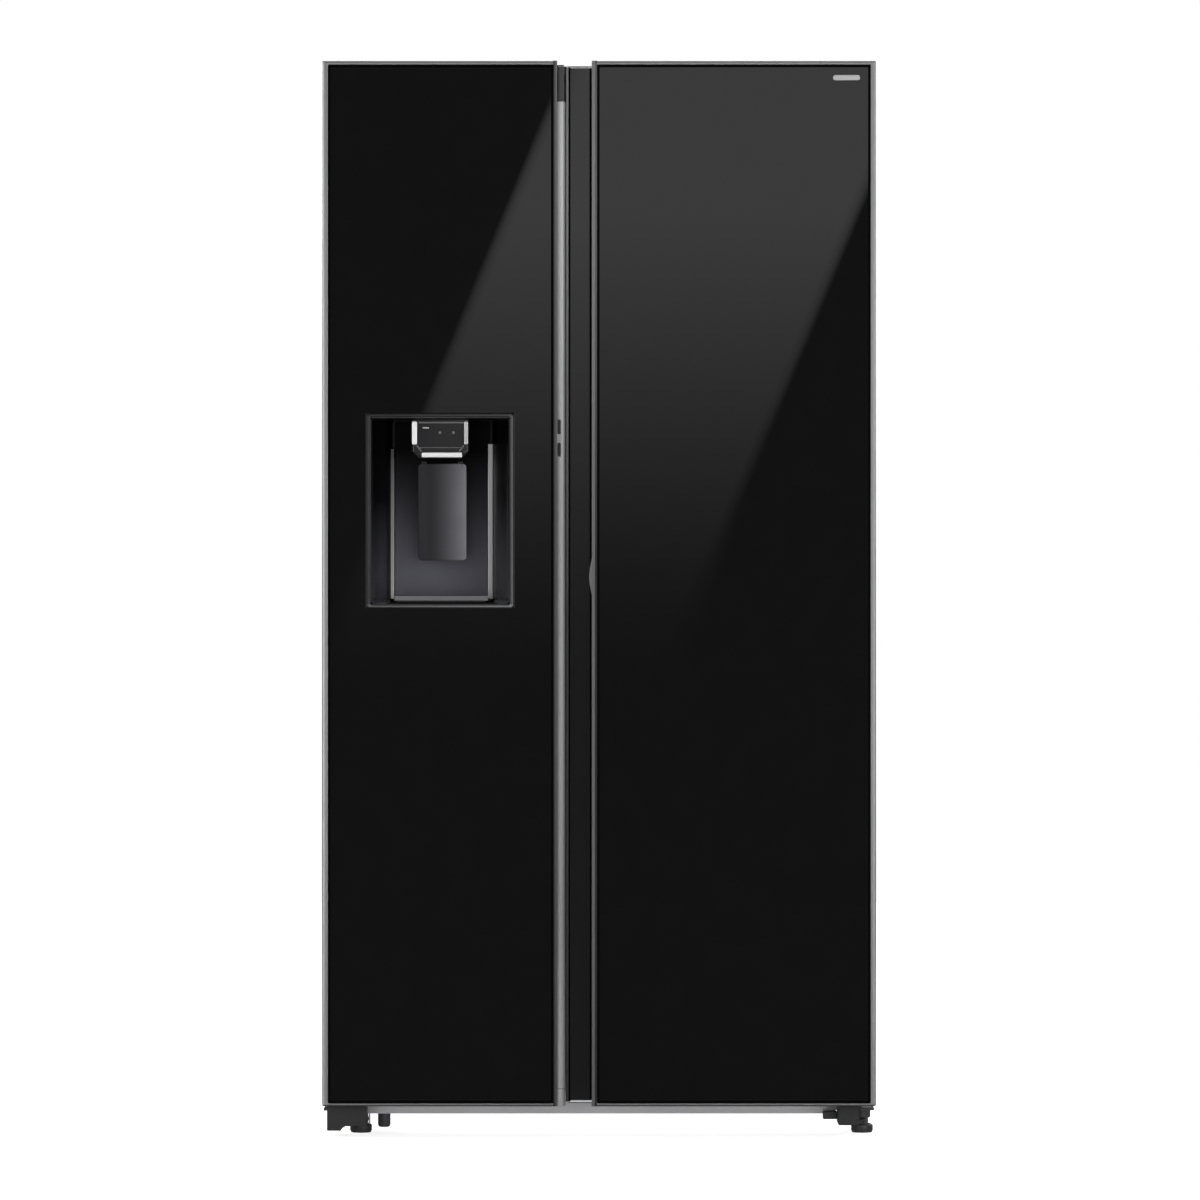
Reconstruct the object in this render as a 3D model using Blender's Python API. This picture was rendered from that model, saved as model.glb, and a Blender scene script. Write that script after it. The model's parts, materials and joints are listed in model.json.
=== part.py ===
"""Side by side refrigerator with a dispenser in its freezer door and a two-layer fridge door.

Metres, +Z up. X runs to the right, the doors face -Y, and the origin is on the floor under the
middle of the overall box. The freezer is on the left. The fridge door is a framed inner door that
carries the bins, with a glass fronted showcase door hinged on it.
"""
import bpy
import bmesh
from collections import namedtuple
from math import cos, hypot, pi, radians, sin
from mathutils import Matrix, Vector

# Overall size
WIDTH = 0.912
DEPTH = 0.716
CASE_TOP = 1.744
DOOR_TOP = 1.7735
OVERALL_TOP = 1.780
HALF = WIDTH / 2
FRONT = -DEPTH / 2
BACK = DEPTH / 2

# Clearances and sheet sizes
GAP = 0.0003
SHEET = 0.0012
LINER = 0.0018
GLASS = 0.004

# Cabinet
CASE_FRONT = -0.252
CASE_REAR = 0.352
CASE_BOTTOM = 0.052
PLATE_BOTTOM = 0.0385
PLATE_TOP = 0.040
SIDE_FLANGE = 0.025
TOP_FLANGE_BOTTOM = 1.712
FOAM_BOTTOM = 0.0565
FREEZER_X = (-0.396, -0.083)
FRIDGE_X = (-0.023, 0.396)
FLOOR_Z = 0.115
CEILING_Z = 1.690
COMPARTMENT_REAR = 0.286
STEP_FOOT_Y = 0.075
STEP_HEAD_Y = 0.105
STEP_Z = 0.300
MACHINE_FRONT = 0.125
MACHINE_TOP = 0.262
MACHINE_HALF = 0.440

# Doors
DOOR_BOTTOM = 0.052
DOOR_REAR = -0.264
TRIM_REAR = -0.346
TRIM_TOP_WIDTH = 0.007
TRIM_FOOT_WIDTH = 0.005
TRIM_OUTER_WIDTH = 0.0105
CORE_TOP = 1.7705
NOTCH_TOP = 1.7355
NOTCH_X = 0.375
FREEZER_DOOR_X = (-HALF, -0.069)
FREEZER_GLASS_X = (-HALF + TRIM_OUTER_WIDTH, -0.0757)
SHOWCASE_X = (-0.012, HALF)
SHOWCASE_GLASS_X = (-0.0025, HALF - TRIM_OUTER_WIDTH)
SHOWCASE_REAR = -0.3165
INNER_DOOR_X = (-0.0530, 0.450)
INNER_DOOR_FRONT = -0.3105
INNER_DOOR_Z = (0.056, 1.766)
WINDOW_X = (0.018, 0.382)
WINDOW_Z = (0.105, 1.695)

# Hinge axes, as (x, y)
FREEZER_AXIS = (-0.440, -0.308)
FRIDGE_AXIS = (0.440, -0.300)
SHOWCASE_AXIS = (0.449, -0.337)
DOOR_PIN = 0.005
SHOWCASE_PIN = 0.003

# Dispenser
DISPENSER_X = (-0.383, -0.140)
DISPENSER_Z = (0.872, 1.193)
DISPENSER_FRAME = 0.006
BAY_FRONT_X = (-0.3735, -0.1495)
BAY_BACK_X = (-0.340, -0.180)
BAY_Z = (0.881, 1.1835)
BAY_MOUTH_Y = -0.3495
BAY_BACK_Y = -0.264
BAY_WALL = 0.002
PADDLE_AXIS_Y = -0.297
PADDLE_AXIS_Z = 1.105

# Feet and rollers: (x, y) of each foot, (x, y, radius) of each roller
FEET = {"left": (-0.396, -0.225), "right": (0.4375, -0.225)}
FOOT_RADIUS = 0.0185
THREAD_RADIUS = 0.004
ROLLERS = {
    "front_roller_left": (-0.395, -0.170, 0.0165),
    "front_roller_right": (0.4375, -0.170, 0.0165),
    "rear_roller_left": (-0.395, 0.300, 0.018),
    "rear_roller_right": (0.395, 0.300, 0.018),
}
FRONT_ROLLER_LIFT = 0.0025
ROLLER_WIDTH = 0.018
AXLE_RADIUS = 0.003

Finish = namedtuple("Finish", "colour roughness metallic")
FINISHES = {
    "black_glass": Finish((0.006, 0.006, 0.007), 0.04, 0.0),
    "silver": Finish((0.46, 0.46, 0.47), 0.32, 1.0),
    "grey_trim": Finish((0.22, 0.22, 0.225), 0.40, 1.0),
    "case_paint": Finish((0.05, 0.05, 0.055), 0.45, 0.0),
    "dark_plastic": Finish((0.018, 0.018, 0.02), 0.40, 0.0),
    "bay_plastic": Finish((0.035, 0.035, 0.042), 0.30, 0.0),
    "white_plastic": Finish((0.80, 0.81, 0.82), 0.35, 0.0),
    "clear_plastic": Finish((0.78, 0.84, 0.88), 0.10, 0.0),
    "shelf_glass": Finish((0.70, 0.80, 0.78), 0.05, 0.0),
    "gasket_rubber": Finish((0.30, 0.30, 0.31), 0.70, 0.0),
    "insulation": Finish((0.75, 0.66, 0.42), 0.85, 0.0),
    "zinc": Finish((0.45, 0.46, 0.48), 0.42, 1.0),
    "copper": Finish((0.10, 0.10, 0.11), 0.50, 0.4),
    "tyre_rubber": Finish((0.03, 0.03, 0.03), 0.75, 0.0),
}


# ---------------------------------------------------------------- modelling helpers

def clear_scene():
    for obj in list(bpy.data.objects):
        bpy.data.objects.remove(obj, do_unlink=True)


def principled(name, finish):
    material = bpy.data.materials.new(name)
    material.use_nodes = True
    shader = material.node_tree.nodes["Principled BSDF"]
    shader.inputs["Base Color"].default_value = (*finish.colour, 1.0)
    shader.inputs["Roughness"].default_value = finish.roughness
    shader.inputs["Metallic"].default_value = finish.metallic
    return material


def paint(obj, finish_name):
    obj.data.materials.clear()
    obj.data.materials.append(principled(obj.name, FINISHES[finish_name]))
    return obj


def add_object(name, data):
    obj = bpy.data.objects.new(name, data)
    bpy.context.scene.collection.objects.link(obj)
    return obj


def mesh_object(name, bm):
    bmesh.ops.recalc_face_normals(bm, faces=bm.faces[:])
    mesh = bpy.data.meshes.new(name)
    bm.to_mesh(mesh)
    bm.free()
    return add_object(name, mesh)


def block(name, low, high):
    """A box between two corners."""
    low = Vector(low)
    size = Vector(high) - low
    placed = Matrix.Translation(low + size / 2) @ Matrix.Diagonal((*size, 1.0))
    bm = bmesh.new()
    bmesh.ops.create_cube(bm, size=1.0, matrix=placed)
    return mesh_object(name, bm)


def prism(name, outline, axis, start, end):
    """An outline, in the two axes other than `axis` in XYZ order, extruded along `axis`."""
    bm = bmesh.new()
    index = "XYZ".index(axis)

    def corner(point, along):
        values = list(point)
        values.insert(index, along)
        return values

    face = bm.faces.new([bm.verts.new(corner(point, start)) for point in outline])
    grown = bmesh.ops.extrude_face_region(bm, geom=[face])
    moved = [item for item in grown["geom"] if isinstance(item, bmesh.types.BMVert)]
    shift = Vector((0, 0, 0))
    shift[index] = end - start
    bmesh.ops.translate(bm, verts=moved, vec=shift)
    return mesh_object(name, bm)


def plate_with_hole(name, x, z, hole_x, hole_z, y):
    """A plate facing -Y with one rectangular hole through it."""
    bm = bmesh.new()
    loops = []
    for depth in y:
        for xs, zs in ((x, z), (hole_x, hole_z)):
            corners = ((xs[0], zs[0]), (xs[1], zs[0]), (xs[1], zs[1]), (xs[0], zs[1]))
            loops.append([bm.verts.new((a, depth, b)) for a, b in corners])
    front_outer, front_inner, rear_outer, rear_inner = loops
    for first, second in (
        (front_outer, front_inner),
        (rear_outer, rear_inner),
        (front_outer, rear_outer),
        (front_inner, rear_inner),
    ):
        for i in range(4):
            j = (i + 1) % 4
            bm.faces.new((first[i], first[j], second[j], second[i]))
    return mesh_object(name, bm)


def tub(name, mouth, bottom, wall, floor):
    """An open tub. `mouth` and `bottom` are inner rectangles as lists of four corners; the walls and
    the floor are added outside them."""
    mouth = [Vector(corner) for corner in mouth]
    bottom = [Vector(corner) for corner in bottom]
    into = (sum(bottom, Vector()) - sum(mouth, Vector())).normalized()

    def outside(corners, depth):
        centre = sum(corners, Vector()) / 4
        grown = []
        for corner in corners:
            arm = corner - centre
            step = Vector([wall if value > 1e-6 else -wall if value < -1e-6 else 0 for value in arm])
            grown.append(corner + step + into * depth)
        return grown

    bm = bmesh.new()
    rings = (bottom, mouth, outside(mouth, 0), outside(bottom, floor))
    rings = [[bm.verts.new(corner) for corner in ring] for ring in rings]
    for near, far in zip(rings, rings[1:]):
        for i in range(4):
            j = (i + 1) % 4
            bm.faces.new((near[i], near[j], far[j], far[i]))
    bm.faces.new(rings[0])
    bm.faces.new(rings[-1])
    return mesh_object(name, bm)


def open_box(name, low, high, wall, floor):
    """A box open at the top, given by its outer corners."""
    x = (low[0] + wall, high[0] - wall)
    y = (low[1] + wall, high[1] - wall)
    corners = ((x[0], y[0]), (x[1], y[0]), (x[1], y[1]), (x[0], y[1]))
    mouth = [(a, b, high[2]) for a, b in corners]
    bottom = [(a, b, low[2] + floor) for a, b in corners]
    return tub(name, mouth, bottom, wall, floor)


def turned(name, profile, centre, axis="Z", segments=24, bored=False):
    """A profile of (radius, height) points turned about an axis through `centre`.

    A bored profile is a closed loop round the hole; any other runs from the axis to the axis."""
    bm = bmesh.new()
    rings = []
    for radius, height in profile:
        if radius < 1e-6:
            rings.append([bm.verts.new((0, 0, height))])
            continue
        angles = [2 * pi * i / segments for i in range(segments)]
        rings.append([bm.verts.new((radius * sin(a), -radius * cos(a), height)) for a in angles])
    pairs = list(zip(rings, rings[1:]))
    if bored:
        pairs.append((rings[-1], rings[0]))
    for near, far in pairs:
        for i in range(segments):
            j = (i + 1) % segments
            corners = [near[i % len(near)], near[j % len(near)], far[j % len(far)], far[i % len(far)]]
            bm.faces.new(list(dict.fromkeys(corners)))
    obj = mesh_object(name, bm)
    obj.data.shade_smooth()
    obj.data.set_sharp_from_angle(angle=radians(35))
    turns = {"X": (0, pi / 2, 0), "Y": (-pi / 2, 0, 0), "Z": (0, 0, 0)}
    obj.rotation_euler = turns[axis]
    obj.location = centre
    return obj


def rod(name, centre, axis, radius, start, end, segments=16):
    """A plain cylinder from `start` to `end` along `axis`, measured from `centre`."""
    profile = [(0, start), (radius, start), (radius, end), (0, end)]
    return turned(name, profile, centre, axis, segments)


def combine(obj, operation, tools):
    for tool in tools:
        tool.hide_render = True
        tool.display_type = "WIRE"
        step = obj.modifiers.new(tool.name, "BOOLEAN")
        step.operation = operation
        step.solver = "EXACT"
        step.object = tool
    return obj


def carve(obj, *tools):
    return combine(obj, "DIFFERENCE", tools)


def weld(obj, *tools):
    return combine(obj, "UNION", tools)


def bevel(obj, width, segments=1):
    step = obj.modifiers.new("edge", "BEVEL")
    step.width = width
    step.segments = segments
    step.limit_method = "ANGLE"
    step.angle_limit = radians(40)
    return obj


def serpentine(name, points, radius, sides=2):
    """A tube along a smooth route, capped at its ends."""
    curve = bpy.data.curves.new(name, "CURVE")
    curve.dimensions = "3D"
    curve.bevel_depth = radius
    curve.bevel_resolution = sides
    curve.use_fill_caps = True
    spline = curve.splines.new("POLY")
    spline.points.add(len(points) - 1)
    for target, point in zip(spline.points, points):
        target.co = (*point, 1.0)
    return add_object(name, curve)


def hang_on(axis_name, xy, objects, z=0.0, parent=None):
    """Parents objects to an empty on a joint axis and leaves them where they are."""
    axis = add_object(axis_name, None)
    axis.empty_display_size = 0.05
    axis.location = (xy[0], xy[1], z)
    for obj in objects:
        obj.parent = axis
        obj.matrix_parent_inverse = Matrix.Translation((-xy[0], -xy[1], -z))
    if parent:
        axis.parent = parent
        axis.matrix_parent_inverse = Matrix.Translation(-Vector(parent.location))
    return axis


# ---------------------------------------------------------------- cabinet shell

def side_panel(name, side):
    """A folded sheet with a flange round the front edge and a narrow one at the rear."""
    inner = HALF - SHEET
    outline = [
        (HALF, CASE_FRONT),
        (HALF - SIDE_FLANGE, CASE_FRONT),
        (HALF - SIDE_FLANGE, CASE_FRONT + SHEET),
        (inner, CASE_FRONT + SHEET),
        (inner, CASE_REAR - SHEET),
        (HALF - 0.014, CASE_REAR - SHEET),
        (HALF - 0.014, CASE_REAR),
        (HALF, CASE_REAR),
    ]
    outline = [(side * x, y) for x, y in outline]
    return paint(prism(name, outline, "Z", CASE_BOTTOM, CASE_TOP - SHEET - GAP), "case_paint")


def top_panel():
    flange_half = HALF - SIDE_FLANGE - 2 * GAP
    panel = block("top_panel", (-HALF, CASE_FRONT, CASE_TOP - SHEET), (HALF, CASE_REAR, CASE_TOP))
    flange = block(
        "top_flange",
        (-flange_half, CASE_FRONT, TOP_FLANGE_BOTTOM),
        (flange_half, CASE_FRONT + SHEET, CASE_TOP - SHEET / 2),
    )
    return paint(weld(panel, flange), "case_paint")


def back_panel():
    y = CASE_REAR + GAP
    half = HALF - 0.004
    panel = block("back_panel", (-half, y, 0.276), (half, y + SHEET, CASE_TOP - 0.002))
    return paint(panel, "zinc")


def compartment_outline(front, grow=0.0):
    """Side outline of a compartment, (y, z), with a sloped step over the machine space."""
    run = STEP_HEAD_Y - STEP_FOOT_Y
    rise = STEP_Z - FLOOR_Z
    shift = grow * (hypot(run, rise) - run) / rise
    return [
        (front, FLOOR_Z - grow),
        (STEP_FOOT_Y + shift, FLOOR_Z - grow),
        (STEP_HEAD_Y + shift, STEP_Z - grow),
        (COMPARTMENT_REAR + grow, STEP_Z - grow),
        (COMPARTMENT_REAR + grow, CEILING_Z + grow),
        (front, CEILING_Z + grow),
    ]


def cabinet_foam():
    half = HALF - SHEET - GAP
    front = CASE_FRONT + LINER + GAP
    foam = block(
        "cabinet_foam",
        (-half, front, FOAM_BOTTOM),
        (half, CASE_REAR - SHEET - GAP, CASE_TOP - SHEET - GAP),
    )
    grow = LINER + GAP
    cutters = [
        prism(f"{name}_space", compartment_outline(CASE_FRONT - 0.01, grow), "X", x[0] - grow, x[1] + grow)
        for name, x in (("freezer", FREEZER_X), ("fridge", FRIDGE_X))
    ]
    machine = block(
        "machine_space",
        (-MACHINE_HALF, MACHINE_FRONT, FOAM_BOTTOM - 0.01),
        (MACHINE_HALF, BACK, MACHINE_TOP),
    )
    return paint(carve(foam, *cutters, machine), "insulation")


def liner(name, x, flange_x, rail_heights):
    """A thin moulded skin with a flange round its mouth and ribs that carry shelves and drawers."""
    flange_rear = CASE_FRONT + LINER
    skin = prism(name, compartment_outline(flange_rear - 0.001, LINER), "X", x[0] - LINER, x[1] + LINER)
    flange = block(
        f"{name}_flange",
        (flange_x[0], CASE_FRONT, CASE_BOTTOM + 0.005),
        (flange_x[1], flange_rear, TOP_FLANGE_BOTTOM - GAP),
    )
    hollow = prism(f"{name}_hollow", compartment_outline(CASE_FRONT - 0.01), "X", *x)
    carve(weld(skin, flange), hollow)
    rib = 0.007
    for level in rail_heights:
        for wall_x, inward in ((x[0], 1), (x[1], -1)):
            ends = sorted((wall_x - inward * LINER / 2, wall_x + inward * rib))
            low = (ends[0], -0.150, level - rib)
            high = (ends[1], 0.225, level)
            weld(skin, block(f"{name}_rib", low, high))
    return paint(skin, "white_plastic")


def roller_supports():
    """Cheeks and axles for the rollers, and a threaded boss on a tab for each levelling foot."""
    parts = []
    cheek = 0.002
    for name, (x, y, radius) in ROLLERS.items():
        centre_z = roller_height(name)
        offset = ROLLER_WIDTH / 2 + 0.0015
        for side in (-1, 1):
            inner = x + side * offset
            ends = sorted((inner, inner + side * cheek))
            low = (ends[0], y - 0.012, centre_z - 0.008)
            high = (ends[1], y + 0.012, PLATE_TOP - 0.0005)
            parts.append(block(f"{name}_cheek", low, high))
        reach = offset + cheek / 2
        parts.append(rod(f"{name}_axle", (x, y, centre_z), "X", AXLE_RADIUS, -reach, reach, 12))
        if name.startswith("front"):
            parts.append(block(f"{name}_tab", (x - 0.015, y - 0.018, PLATE_BOTTOM), (x + 0.015, y + 0.018, 0.0415)))
    for name, (x, y) in FEET.items():
        parts.append(block(f"{name}_tab", (x - 0.015, y - 0.018, PLATE_BOTTOM), (x + 0.015, y + 0.018, 0.0415)))
        parts.append(rod(f"{name}_boss", (x, y, 0), "Z", 0.011, 0.027, 0.039))
    return parts


def roller_height(name):
    lift = FRONT_ROLLER_LIFT if name.startswith("front") else 0.0
    return ROLLERS[name][2] + lift


def base_plate():
    half = 0.428
    plate = block("base_plate", (-half, CASE_FRONT, PLATE_BOTTOM), (half, CASE_REAR - 0.002, PLATE_TOP))
    flange = block("base_flange", (-half, CASE_FRONT, 0.039), (half, CASE_FRONT + SHEET, 0.056))
    weld(plate, flange, *roller_supports())
    bores = [
        rod(f"{name}_bore", (x, y, 0), "Z", THREAD_RADIUS + GAP, 0.020, 0.050) for name, (x, y) in FEET.items()
    ]
    return paint(carve(plate, *bores), "zinc")


def top_cover():
    """Moulded cover across the front of the top, with a raised housing over the control board."""
    y = (CASE_FRONT + 0.002, -0.150)
    z = CASE_TOP + GAP
    low_top = 1.7715
    profile = [
        (-0.330, z),
        (0.330, z),
        (0.330, low_top - 0.006),
        (0.324, low_top),
        (0.268, low_top),
        (0.266, OVERALL_TOP),
        (0.178, OVERALL_TOP),
        (0.176, low_top),
        (-0.324, low_top),
        (-0.330, low_top - 0.006),
    ]
    return paint(prism("top_cover", profile, "Y", *y), "dark_plastic")


# ---------------------------------------------------------------- hinges, feet and rollers

def upper_hinge(name, side, axis):
    """A plate on the cabinet's top with an arm that carries a pin down into the door."""
    z = CASE_TOP + GAP
    thick = 0.004
    reach = axis[1] - 0.014
    outline = [
        (0.362, -0.125),
        (0.452, -0.125),
        (0.4545, reach + 0.006),
        (0.4485, reach),
        (0.4300, reach),
        (0.4240, reach + 0.006),
        (0.4240, -0.235),
        (0.362, -0.215),
    ]
    outline = [(side * x, y) for x, y in outline]
    plate = prism(name, outline, "Z", z, z + thick)
    pin = rod(f"{name}_pin", (*axis, 0), "Z", DOOR_PIN, NOTCH_TOP - 0.015, z + thick / 2)
    return paint(weld(plate, pin), "zinc")


def lower_hinge(name, side, axis):
    """An angle screwed to the front of the cabinet, with a pin up into the door."""
    arm_z = (0.0425, 0.0465)
    x = sorted((side * 0.402, side * 0.4545))
    plate_y = (CASE_FRONT - 0.0036, CASE_FRONT - GAP)
    plate = block(name, (x[0], plate_y[0], arm_z[0]), (x[1], plate_y[1], 0.070))
    arm = block(f"{name}_arm", (x[0], axis[1] - 0.014, arm_z[0]), (x[1], plate_y[0] + 0.001, arm_z[1]))
    pin = rod(f"{name}_pin", (*axis, 0), "Z", DOOR_PIN, arm_z[0] + 0.002, 0.066)
    return paint(weld(plate, arm, pin), "zinc")


def pin_hole(name, axis, radius, low, high):
    return rod(name, (*axis, 0), "Z", radius + GAP, low, high)


def levelling_foot(name, xy):
    profile = [
        (0, 0),
        (FOOT_RADIUS - 0.002, 0),
        (FOOT_RADIUS, 0.003),
        (FOOT_RADIUS, 0.013),
        (FOOT_RADIUS - 0.002, 0.015),
        (0.009, 0.015),
        (0.009, 0.022),
        (THREAD_RADIUS, 0.022),
        (THREAD_RADIUS, 0.052),
        (0, 0.052),
    ]
    return paint(turned(name, profile, (*xy, 0)), "dark_plastic")


def roller(name):
    x, y, radius = ROLLERS[name]
    half = ROLLER_WIDTH / 2
    bore = AXLE_RADIUS + GAP
    profile = [
        (bore, -half),
        (radius - 0.002, -half),
        (radius, -half + 0.002),
        (radius, half - 0.002),
        (radius - 0.002, half),
        (bore, half),
    ]
    wheel = turned(name, profile, (x, y, roller_height(name)), "X", bored=True)
    return paint(wheel, "tyre_rubber")


# ---------------------------------------------------------------- machine space

def compressor():
    profile = [
        (0, 0),
        (0.052, 0),
        (0.070, 0.012),
        (0.076, 0.035),
        (0.076, 0.100),
        (0.068, 0.128),
        (0.045, 0.145),
        (0, 0.150),
    ]
    shell = turned("compressor", profile, (0.300, 0.235, PLATE_TOP + 0.014), "Z", 24)
    foot = block("compressor_foot", (0.195, 0.185, PLATE_TOP + 0.010), (0.405, 0.285, PLATE_TOP + 0.016))
    return paint(weld(shell, foot), "dark_plastic")


def condenser_coil():
    """One long tube folded into flat rows."""
    rows = 6
    pitch = 0.026
    left, right = -0.370, -0.110
    base_z = 0.086
    points = []
    steps = 4
    for row in range(rows):
        z = base_z + row * pitch
        start, end = (left, right) if row % 2 == 0 else (right, left)
        points += [(start, 0.235, z), (end, 0.235, z)]
        if row == rows - 1:
            break
        bulge = 1 if end > start else -1
        for step in range(1, steps):
            angle = pi * step / steps
            across = bulge * pitch / 2 * sin(angle)
            points.append((end + across, 0.235, z + pitch / 2 * (1 - cos(angle))))
    return paint(serpentine("condenser_coil", points, 0.005), "copper")


def fan(name, centre, axis, radius, hub, depth, blades=5):
    """A hub with flat blades set at a pitch."""
    rotor = rod(name, centre, axis, hub, -depth / 2, depth / 2, 20)
    bm = bmesh.new()
    length = radius - hub * 0.6
    for i in range(blades):
        place = Matrix.Rotation(2 * pi * i / blades, 4, "Z")
        place = place @ Matrix.Translation((hub * 0.6 + length / 2, 0, 0))
        place = place @ Matrix.Rotation(radians(32), 4, "X")
        place = place @ Matrix.Diagonal((length, radius * 0.42, 0.0016, 1.0))
        bmesh.ops.create_cube(bm, size=1.0, matrix=place)
    wings = mesh_object(f"{name}_blades", bm)
    wings.rotation_euler = rotor.rotation_euler
    wings.location = centre
    return paint(weld(rotor, wings), "dark_plastic")


def drain_pan():
    low = (-0.400, 0.160, PLATE_TOP + GAP)
    high = (-0.080, 0.320, PLATE_TOP + 0.032)
    return paint(open_box("drain_pan", low, high, 0.002, 0.002), "dark_plastic")


def machine_cover():
    """Rear cover of the machine space, with two groups of air slots."""
    y = (CASE_REAR + GAP, BACK)
    cover = block("machine_cover", (-0.430, y[0], 0.058), (0.430, y[1], 0.270))
    for centre_x in (-0.240, 0.235):
        for row in range(6):
            z = 0.100 + row * 0.024
            low = (centre_x - 0.110, y[0] - 0.01, z)
            high = (centre_x + 0.110, y[1] + 0.01, z + 0.010)
            carve(cover, block("air_slot", low, high))
    return paint(cover, "dark_plastic")


# ---------------------------------------------------------------- inside the compartments

def air_panel(name, x, z):
    """Panel over the rear wall, with cold air outlets."""
    panel = block(name, (x[0] + 0.004, 0.240, z[0]), (x[1] - 0.004, 0.248, z[1]))
    middle = (x[0] + x[1]) / 2
    for level in (0.80, 1.13, 1.52):
        for side in (-1, 1):
            centre = middle + side * 0.075
            low = (centre - 0.045, 0.230, level)
            high = (centre + 0.045, 0.260, level + 0.012)
            carve(panel, block("air_outlet", low, high))
    return paint(panel, "white_plastic")


def evaporator_coil():
    """A finned block: a comb outline extruded across the compartment."""
    left, right = -0.370, -0.110
    fins = 18
    pitch = (right - left) / fins
    outline = [(left, 0.262), (left, 0.254)]
    for i in range(fins):
        start = left + i * pitch
        stop = start + pitch / 2
        outline += [(start, 0.282), (stop, 0.282)]
        if i < fins - 1:
            outline += [(stop, 0.262), (start + pitch, 0.262)]
    outline = outline[1:]
    outline += [(left + (fins - 0.5) * pitch, 0.254)]
    return paint(prism("evaporator_coil", outline, "Z", 0.62, 1.06), "zinc")


def shelf(name, x, level):
    low = (x[0] + 0.003, -0.140, level + GAP)
    high = (x[1] - 0.003, 0.236, level + 0.005)
    return paint(block(name, low, high), "shelf_glass")


def drawer(name, x, y, z):
    return paint(open_box(name, (x[0], y[0], z[0]), (x[1], y[1], z[1]), 0.003, 0.003), "clear_plastic")


def ice_maker():
    body = block("ice_maker", (-0.372, 0.010, 1.520), (-0.108, 0.205, 1.600))
    mould = block("ice_mould", (-0.345, 0.040, 1.560), (-0.135, 0.110, 1.620))
    return paint(carve(body, mould), "white_plastic")


def ice_bucket():
    bucket = open_box("ice_bucket", (-0.384, -0.130, 1.302), (-0.095, 0.205, 1.470), 0.003, 0.003)
    return paint(bucket, "clear_plastic")


# ---------------------------------------------------------------- freezer door

def door_trim(name, x, glass_x):
    hole_z = (DOOR_BOTTOM + TRIM_FOOT_WIDTH, DOOR_TOP - TRIM_TOP_WIDTH)
    ring = plate_with_hole(name, x, (DOOR_BOTTOM, DOOR_TOP), glass_x, hole_z, (FRONT, TRIM_REAR))
    return paint(ring, "grey_trim")


def glass_area(glass_x):
    x = (glass_x[0] + GAP, glass_x[1] - GAP)
    z = (DOOR_BOTTOM + TRIM_FOOT_WIDTH + GAP, DOOR_TOP - TRIM_TOP_WIDTH - GAP)
    return x, z


def freezer_glass():
    x, z = glass_area(FREEZER_GLASS_X)
    hole_x = (DISPENSER_X[0] - GAP, DISPENSER_X[1] + GAP)
    hole_z = (DISPENSER_Z[0] - GAP, DISPENSER_Z[1] + GAP)
    pane = plate_with_hole("freezer_door_glass", x, z, hole_x, hole_z, (FRONT, FRONT + GLASS))
    return paint(pane, "black_glass")


def door_pad(name, glass_x):
    """The part of a door core that fills the trim behind the glass."""
    x, z = glass_area(glass_x)
    return block(name, (x[0], FRONT + GLASS + GAP, z[0]), (x[1], TRIM_REAR + 0.0013, z[1]))


def freezer_core():
    """Insulated door body with inner walls that hold the bins, and a bulge behind the dispenser."""
    left = -HALF + 0.0015
    outline = [
        (left, TRIM_REAR + GAP),
        (-0.0695, TRIM_REAR + GAP),
        (-0.0695, -0.2985),
        (-0.0580, -0.2985),
        (-0.0580, DOOR_REAR),
        (left, DOOR_REAR),
    ]
    core = prism("freezer_door_core", outline, "Z", 0.054, CORE_TOP)
    weld(core, door_pad("freezer_pad", FREEZER_GLASS_X))
    for name, x in (("outer", (-0.3855, -0.3755)), ("inner", (-0.1170, -0.1065))):
        weld(core, block(f"{name}_wall", (x[0], DOOR_REAR - 0.001, 0.140), (x[1], -0.178, 1.660)))
    weld(core, block("bulge", (-0.376, DOOR_REAR - 0.001, 0.840), (-0.107, -0.222, 1.240)))
    notch = block("hinge_notch", (-HALF - 0.01, TRIM_REAR + 0.0015, NOTCH_TOP), (-NOTCH_X, -0.25, 1.80))
    wall = BAY_WALL + GAP
    pocket = block(
        "bay_pocket",
        (BAY_FRONT_X[0] - wall, FRONT - 0.01, BAY_Z[0] - wall),
        (BAY_FRONT_X[1] + wall, BAY_BACK_Y + BAY_WALL + GAP, BAY_Z[1] + wall),
    )
    rebate = block(
        "frame_rebate",
        (DISPENSER_X[0] - 0.0005, FRONT - 0.01, DISPENSER_Z[0] - 0.0005),
        (DISPENSER_X[1] + 0.0005, BAY_MOUTH_Y, DISPENSER_Z[1] + 0.0005),
    )
    holes = [
        pin_hole("upper_pin_hole", FREEZER_AXIS, DOOR_PIN, NOTCH_TOP - 0.017, NOTCH_TOP + 0.01),
        pin_hole("lower_pin_hole", FREEZER_AXIS, DOOR_PIN, 0.05, 0.068),
    ]
    return paint(carve(core, notch, pocket, rebate, *holes), "white_plastic")


def freezer_handle():
    """Aluminium grip profile down the free edge of the freezer door."""
    outline = [
        (-0.0687, -0.3515),
        (-0.0665, -0.3535),
        (-0.0605, -0.3535),
        (-0.0580, -0.3495),
        (-0.0580, -0.3020),
        (-0.0687, -0.3020),
    ]
    return paint(prism("freezer_handle", outline, "Z", DOOR_BOTTOM, 1.706), "silver")


def gasket(name, x, z, width, y):
    hole_x = (x[0] + width, x[1] - width)
    hole_z = (z[0] + width, z[1] - width)
    return paint(plate_with_hole(name, x, z, hole_x, hole_z, y), "gasket_rubber")


def door_bin(name, x, y, z):
    return paint(open_box(name, (x[0], y[0], z[0]), (x[1], y[1], z[1]), 0.0025, 0.003), "clear_plastic")


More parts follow.
